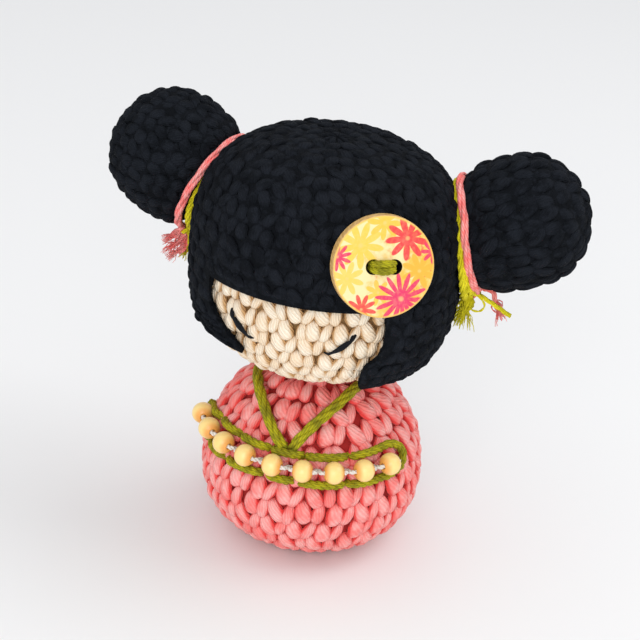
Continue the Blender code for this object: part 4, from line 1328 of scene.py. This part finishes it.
def make_eyes(doll):
    looks = yarn_looks("black_eye_thread", doll.colours.yarn("black"), shine=0.15)
    for side, name in ((-1, "left"), (1, "right")):
        points = []
        for share in np.linspace(0, 1, 8):
            drop = EYE_DROP + EYE_FALL * share + EYE_BOW * math.sin(math.pi * share)
            place, facing = head_front(side * (EYE_SIDE - EYE_RUN * share) * MM, -drop * MM, FACE_LAYER)
            points.append(place + facing * EYE_END_LIFTS.get(share, EYE_LIFT) * MM)
        shapes = plied(curve_through(points), doll.stitches.eye, 2, 9 * MM,
                       taper=lambda share: np.interp(share, (0, 0.1, 0.5, 0.85, 1), (0.85, 1.05, 1.05, 0.7, 0.3)))
        dress(gather(f"{name}_eye_thread", shapes), looks, "head", "black_thread", f"{name}_eye_stitch")


def button_frame():
    """The button's back middle, its facing and the way from hole to hole."""
    facing = np.array((math.sin(BUTTON_TURN) * math.cos(BUTTON_TILT), -math.cos(BUTTON_TURN) * math.cos(BUTTON_TILT),
                       math.sin(BUTTON_TILT)))
    across = np.array((math.cos(BUTTON_TURN), math.sin(BUTTON_TURN), 0))
    place, _ = head_front(BUTTON_SIDE, BUTTON_RISE, 0)
    power = HEAD_POWER / (HEAD_POWER - 1)
    flat = math.hypot(facing[0] * HEAD_WIDTH, facing[1] * HEAD_DEPTH)
    reach = (flat ** power + abs(facing[2] * HEAD_HEIGHT) ** power) ** (1 / power)
    return place + facing * (HEAD_CENTRE.dot(facing) + reach - place.dot(facing) + CLEARANCE), facing, across


RIM_ROUNDING = 0.45 * MM
HOLE_ROUNDING = 0.18 * MM


def make_button(doll):
    back, facing, across = button_frame()
    clear_selection()
    bpy.ops.mesh.primitive_cylinder_add(vertices=96, radius=BUTTON_RADIUS, depth=BUTTON_THICKNESS)
    button = bpy.context.object
    button.name = "printed_wooden_button"
    edges = {"limit_method": "ANGLE", "angle_limit": math.radians(50)}
    apply_modifier(button, "BEVEL", width=RIM_ROUNDING, segments=4, **edges)
    for side in (-1, 1):
        clear_selection()
        bpy.ops.mesh.primitive_cylinder_add(vertices=40, radius=BUTTON_HOLE, depth=2 * BUTTON_THICKNESS,
                                            location=(side * BUTTON_HOLE_REACH, 0, 0))
        cut_with(button, bpy.context.object)
    apply_modifier(button, "BEVEL", width=HOLE_ROUNDING, segments=2, **edges)
    mesh = button.data
    flat = np.array([mesh.vertices[loop.vertex_index].co[:2] for loop in mesh.loops])
    mesh.uv_layers.active.data.foreach_set("uv", (flat / BUTTON_RADIUS).astype(np.float32).ravel())
    front = np.array([face.normal.z > 0.75 for face in mesh.polygons])
    turn = Matrix((across, np.cross(facing, across), facing)).transposed().to_4x4()
    mesh.transform(Matrix.Translation(back + facing * (BUTTON_THICKNESS / 2)) @ turn)
    mesh.shade_smooth()
    apply_modifier(button, "WEIGHTED_NORMAL", keep_sharp=True)
    dress(button, wood_looks(tuple(doll.colours.button_side)), "button", "button_wood", "wooden_button")
    mesh.materials.append(print_looks(tuple(doll.colours.button)))
    mesh.polygons.foreach_set("material_index", front.astype(np.int32))


# How far each of the two strands through the button lies from its middle line, in millimetres
STRAND_RISES = (-0.68, 0.68)


def make_button_yarn(doll):
    """Two strands that come out of the hair through one hole and go back through the other."""
    back, facing, across = button_frame()
    up = np.cross(facing, across)
    shapes = []
    for rise in STRAND_RISES:
        halves = []
        for side in (-1, 1):
            foot = back + across * side * BUTTON_HOLE_REACH
            low = 0.0
            while hair_level(foot - facing * low) > 1:
                low += 0.1 * MM
            ways = ((0.9 - low / MM, 0, 0.6), (1.6, 0.15, 0.75), (3.1, 0.35, 0.85))
            halves.append([foot + (facing * lift - across * side * inwards + up * rise * apart) * MM
                           for lift, inwards, apart in ways])
        points = halves[0] + [back + (facing * 4.1 + up * rise * 1.1) * MM] + halves[1][::-1]
        shapes += plied(curve_through(points, 0.3 * MM), doll.stitches.button_yarn, 4, 4.5 * MM, phase=rise)
    dress(gather("button_sewing_yarn", shapes), yarn_looks("olive_button_yarn", doll.colours.yarn("olive")), "head",
          "olive_yarn", "button_yarn")


# The loose ends of each bun's ties. Steps run right and up from the knot, in millimetres, and the open part follows:
# its way, length, fibres and spread
PINK_ENDS = {
    -1: (((-0.6, -0.7), (-1.2, -1.0, 4.4, 46, 0.24)), ((0.9, -1.8), (-1.1, -1.0, 6.2, 34, 0.10)),
         ((1.3, -4.0), (-1.3, -0.9, 5.4, 30, 0.12))),
    1: (((2.4, -0.8), (3.2, -3.0), (0.6, -1.0, 4.4, 44, 0.24)), ((-2.6, -3.6), (-0.5, -0.8, 2.6, 12, 0.2))),
}
OLIVE_ENDS = {
    -1: (((0.8, -3.6), (-0.5, -1.0, 3.6, 24, 0.22)),),
    1: (((-0.8, -1.0), (-0.1, -1.0, 6.8, 60, 0.34)), ((-1.2, -0.8), (-1.0, -0.35, 3.6, 26, 0.4)),
        ((-0.3, -1.4), (-0.4, -0.9, 6.4, 34, 0.3))),
}
STRAIGHT_END = ((0, 0), (1.6, -0.4), (4.8, -2.2), (8.7, -4.6))
THIN_LOOP = ((0, 0), (1.9, -0.9), (3.1, -2.6), (2.3, -4.0), (0.6, -3.9), (-0.6, -2.6))

# How far a step to the right goes along X and Y
RIGHTWARDS = np.array((0.97, 0.25, 0))

# The pink tie on each bun: its radius in millimetres and its knot's angle
PINK_TIES = {-1: (11.5, -68.0), 1: (11.95, -86.0)}
PINK_KNOT = 11.9 * MM

# The olive tie on each bun: its turns, the first one's radius and how much that grows where the turns sag, the same for
# the last one, all in millimetres, and how sharply they grow
OLIVE_TIES = {-1: (2, 9.75, 0.0, 9.6, 1.3, 2), 1: (3, 10.6, 2.0, 11.3, 0.6, 1)}
OLIVE_START = -74
OLIVE_SAG = -55
OLIVE_KNOT = 11.6 * MM
OLIVE_KNOT_ANGLE = -70.0


def from_knot(knotted, steps, forward):
    """Places at steps from a knot, brought forward so that they hang clear of the hair."""
    return [knotted + (RIGHTWARDS * right + (0, -forward, rise)) * MM for right, rise in steps]


def loose_end(knotted, steps, opening, thickness, draws):
    """A tie's end: twisted yarn, then open fibres."""
    across, up, length, fibres, spread = opening
    path = curve_through([knotted] + from_knot(knotted, steps, 0.5))
    way = unit(RIGHTWARDS * across + (0, -0.12, up))
    return plied(path, thickness, 3, 7 * MM) + tuft(path[-1] - way * 0.5 * MM, way, length * MM, fibres, spread, draws)


def pink_tie(bun, thickness, draws):
    """Nearly a whole turn of yarn on the bun's inner end, with a knot below it and loose ends."""
    radius, low = PINK_TIES[bun.side]
    reach = radius * MM
    angles = np.arange(-58, 277, 8.0)
    ring = bun.place(np.full(len(angles), reach), angles, bun.rest(reach, angles))
    shapes = plied(curve_through(ring), thickness, 3, 20 * MM)
    middle = bun.place(np.array(PINK_KNOT), np.array(low), bun.rest(reach, low) + 0.2 * MM)
    shapes += knot(middle, 1.2 * MM, 1.0 * MM, 2)
    for *steps, opening in PINK_ENDS[bun.side]:
        shapes += loose_end(middle, steps, opening, 1.2 * MM, draws)
    return shapes


def olive_tie(bun, thickness, draws):
    """Turns of yarn from the hair, where they start fanned out, to the pink tie."""
    turns, first, first_sag, last, last_sag, sharp = OLIVE_TIES[bun.side]
    angles = np.arange(OLIVE_START, OLIVE_START + 360 * turns + 5, 8.0)
    turn = (angles - OLIVE_START) / 360
    low = np.clip(np.cos(np.radians(angles - OLIVE_SAG)), 0, 1)
    first, last = first + first_sag * low ** sharp, last + last_sag * low ** sharp
    reach = (first + (last - first) * np.clip((turn - 0.3) / (turn[-1] - 1), 0, 1)) * MM
    near = bun.rest(PINK_TIES[bun.side][0] * MM, angles) + 1.15 * MM
    room = np.clip(bun.depth(reach, angles) - near - 0.6 * MM, 0, (2.0 + 2.5 * low) * MM)
    fan = np.interp(turn / turn[-1], (0, 0.35, 0.65, 1.0), (0.9, 0.85, 0.15, 0.1))
    ring = bun.place(reach, angles, near + smoothed(fan * room, 6))
    shapes = plied(curve_through(ring), thickness, 4, 9 * MM)
    middle = bun.place(np.array(OLIVE_KNOT), np.array(OLIVE_KNOT_ANGLE),
                       bun.rest(OLIVE_KNOT, OLIVE_KNOT_ANGLE) + 1.3 * MM)
    shapes += knot(middle, 1.5 * MM, 1.0 * MM)
    for *steps, opening in OLIVE_ENDS[bun.side]:
        shapes += loose_end(middle, steps, opening, 1.3 * MM, draws)
    if bun.side > 0:
        shapes += plied(curve_through(from_knot(middle, STRAIGHT_END, 0.8)), 1.05 * MM, 3, 7 * MM)
        shapes += plied(curve_through(from_knot(middle, THIN_LOOP, 1.0), 0.25 * MM), 0.5 * MM, 2, 3 * MM)
    return shapes


def make_ties(doll):
    # The olive ties use the same olive yarn painted lighter: painted light.
    lit_olive_looks = yarn_looks("olive_tie_yarn", doll.colours.yarn("moss"))
    pink_looks = yarn_looks("pink_tie_yarn", doll.colours.yarn("pink"), fibres=4.0)
    for side, name in ((-1, "left"), (1, "right")):
        bun = Bun(side)
        draws = np.random.default_rng(23 + side)
        pink = gather(f"{name}_pink_tie_yarn", pink_tie(bun, doll.stitches.pink_tie, draws))
        dress(pink, pink_looks, f"{name}_bun", "pink_yarn", f"{name}_bun_pink_tie")
        olive = gather(f"{name}_olive_tie_yarn", olive_tie(bun, doll.stitches.olive_tie, draws))
        dress(olive, lit_olive_looks, f"{name}_bun", "olive_yarn", f"{name}_bun_olive_tie")


def place_at(item, place, ways):
    """Put a lamp or a camera in the scene, with its axes along three ways."""
    item.matrix_world = Matrix.Translation(place) @ ways.to_4x4()
    bpy.context.scene.collection.objects.link(item)


# Each lamp's place and size, in metres
LAMPS = {"key": ((0.1, -0.75, 0.35), 0.5), "window": ((0.36, 0.12, 0.6), 0.5), "fill": ((-0.4, -0.55, 0.45), 0.6)}
LAMP_TARGET = Vector((0, 0, 0.05))
SKY_TINT = (0.97, 0.98, 1, 1)


def make_studio(doll):
    scene = bpy.context.scene
    scene.view_settings.view_transform = "Standard"
    clear_selection()
    bpy.ops.mesh.primitive_plane_add(size=6)
    floor = bpy.context.object
    floor.name = "floor"
    floor.data.materials.append(Looks("paper").finish(Base_Color=tuple(doll.studio.paper), Roughness=0.9,
                                                      Specular_IOR_Level=0.1))
    scene.world = bpy.data.worlds.new("studio")
    scene.world.use_nodes = True
    sky = scene.world.node_tree.nodes["Background"]
    sky.inputs["Color"].default_value = SKY_TINT
    sky.inputs["Strength"].default_value = doll.studio.sky
    for name, (place, size) in LAMPS.items():
        light = bpy.data.lights.new(name, "AREA")
        light.size = size
        light.energy = getattr(doll.studio, name)
        way = LAMP_TARGET - Vector(place)
        place_at(bpy.data.objects.new(name, light), place, way.to_track_quat("-Z", "Y").to_matrix())
    camera = bpy.data.cameras.new("photo_camera")
    camera.lens = CAMERA_LENS
    camera.sensor_width = 36
    camera.clip_start = 0.01
    turn, rise, roll = (math.radians(angle) for angle in (CAMERA_TURN, CAMERA_RISE, CAMERA_ROLL))
    back = Vector((math.sin(turn) * math.cos(rise), -math.cos(turn) * math.cos(rise), math.sin(rise)))
    right = Vector((math.cos(turn), math.sin(turn), 0))
    up = back.cross(right)
    level = right * math.cos(roll) - up * math.sin(roll)
    upright = up * math.cos(roll) + right * math.sin(roll)
    eye = bpy.data.objects.new("photo_camera", camera)
    place_at(eye, CAMERA_TARGET + back * CAMERA_DISTANCE, Matrix((level, upright, back)).transposed())
    scene.camera = eye


# The add-on


class DOLL_OT_studio(Operator):
    """Add the floor, the lamps and the camera"""
    bl_idname = "doll.studio"
    bl_label = "Studio"

    def execute(self, context):
        make_studio(context.scene.doll)
        return {"FINISHED"}


class DOLL_OT_body(Operator):
    """Crochet the body from its flat base up to its neck"""
    bl_idname = "doll.body"
    bl_label = "Body"

    def execute(self, context):
        make_body(context.scene.doll)
        return {"FINISHED"}


class DOLL_OT_collar(Operator):
    """Sew the two stitches of the collar"""
    bl_idname = "doll.collar"
    bl_label = "Collar"

    def execute(self, context):
        make_collar(context.scene.doll)
        return {"FINISHED"}


class DOLL_OT_sash(Operator):
    """Sew the back stitches round the row of beads"""
    bl_idname = "doll.sash"
    bl_label = "Sash"

    def execute(self, context):
        make_sash(context.scene.doll)
        return {"FINISHED"}


class DOLL_OT_beads(Operator):
    """Turn the beads and thread them"""
    bl_idname = "doll.beads"
    bl_label = "Beads"

    def execute(self, context):
        make_beads(context.scene.doll)
        return {"FINISHED"}


class DOLL_OT_face(Operator):
    """Crochet the head, of which the face shows"""
    bl_idname = "doll.face"
    bl_label = "Head"

    def execute(self, context):
        make_face(context.scene.doll)
        return {"FINISHED"}


class DOLL_OT_eyes(Operator):
    """Sew the closed eyes"""
    bl_idname = "doll.eyes"
    bl_label = "Eyes"

    def execute(self, context):
        make_eyes(context.scene.doll)
        return {"FINISHED"}


class DOLL_OT_hair(Operator):
    """Crochet the hair round the face"""
    bl_idname = "doll.hair"
    bl_label = "Hair"

    def execute(self, context):
        make_hair(context.scene.doll)
        return {"FINISHED"}


class DOLL_OT_button(Operator):
    """Make the printed button and the yarn that holds it"""
    bl_idname = "doll.button"
    bl_label = "Button"

    def execute(self, context):
        make_button(context.scene.doll)
        make_button_yarn(context.scene.doll)
        return {"FINISHED"}


class DOLL_OT_buns(Operator):
    """Crochet the two buns"""
    bl_idname = "doll.buns"
    bl_label = "Buns"

    def execute(self, context):
        make_buns(context.scene.doll)
        return {"FINISHED"}


class DOLL_OT_ties(Operator):
    """Wind and knot the yarn round the buns"""
    bl_idname = "doll.ties"
    bl_label = "Ties"

    def execute(self, context):
        make_ties(context.scene.doll)
        return {"FINISHED"}


class DOLL_OT_seams(Operator):
    """Sew the head and the buns on"""
    bl_idname = "doll.seams"
    bl_label = "Seams"

    def execute(self, context):
        make_seams(context.scene.doll)
        return {"FINISHED"}


class DOLL_OT_stuffing(Operator):
    """Fill the body, the head and the buns with fibre"""
    bl_idname = "doll.stuffing"
    bl_label = "Stuffing"

    def execute(self, context):
        make_stuffing(context.scene.doll)
        return {"FINISHED"}


MAKERS = (DOLL_OT_studio, DOLL_OT_body, DOLL_OT_collar, DOLL_OT_sash, DOLL_OT_beads, DOLL_OT_face, DOLL_OT_eyes,
          DOLL_OT_hair, DOLL_OT_button, DOLL_OT_buns, DOLL_OT_ties, DOLL_OT_seams, DOLL_OT_stuffing)


class DOLL_PT_panel(Panel):
    """The doll's settings and makers"""
    bl_idname = "DOLL_PT_panel"
    bl_label = "Crocheted Doll"
    bl_space_type = "VIEW_3D"
    bl_region_type = "UI"
    bl_category = "Doll"

    def draw(self, context):
        doll = context.scene.doll
        for group in (doll.colours, doll.stitches, doll.studio):
            box = self.layout.box()
            for name in group.__annotations__:
                box.prop(group, name)
        for maker in MAKERS:
            self.layout.operator(maker.bl_idname)


CLASSES = (DollColours, DollStitches, DollStudio, Doll, *MAKERS, DOLL_PT_panel)


def register():
    for item in CLASSES:
        bpy.utils.register_class(item)
    bpy.types.Scene.doll = PointerProperty(type=Doll)


def unregister():
    del bpy.types.Scene.doll
    for item in reversed(CLASSES):
        bpy.utils.unregister_class(item)


def main():
    register()
    for maker in MAKERS:
        group, name = maker.bl_idname.split(".")
        getattr(getattr(bpy.ops, group), name)()
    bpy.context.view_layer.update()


if __name__ == "__main__":
    main()
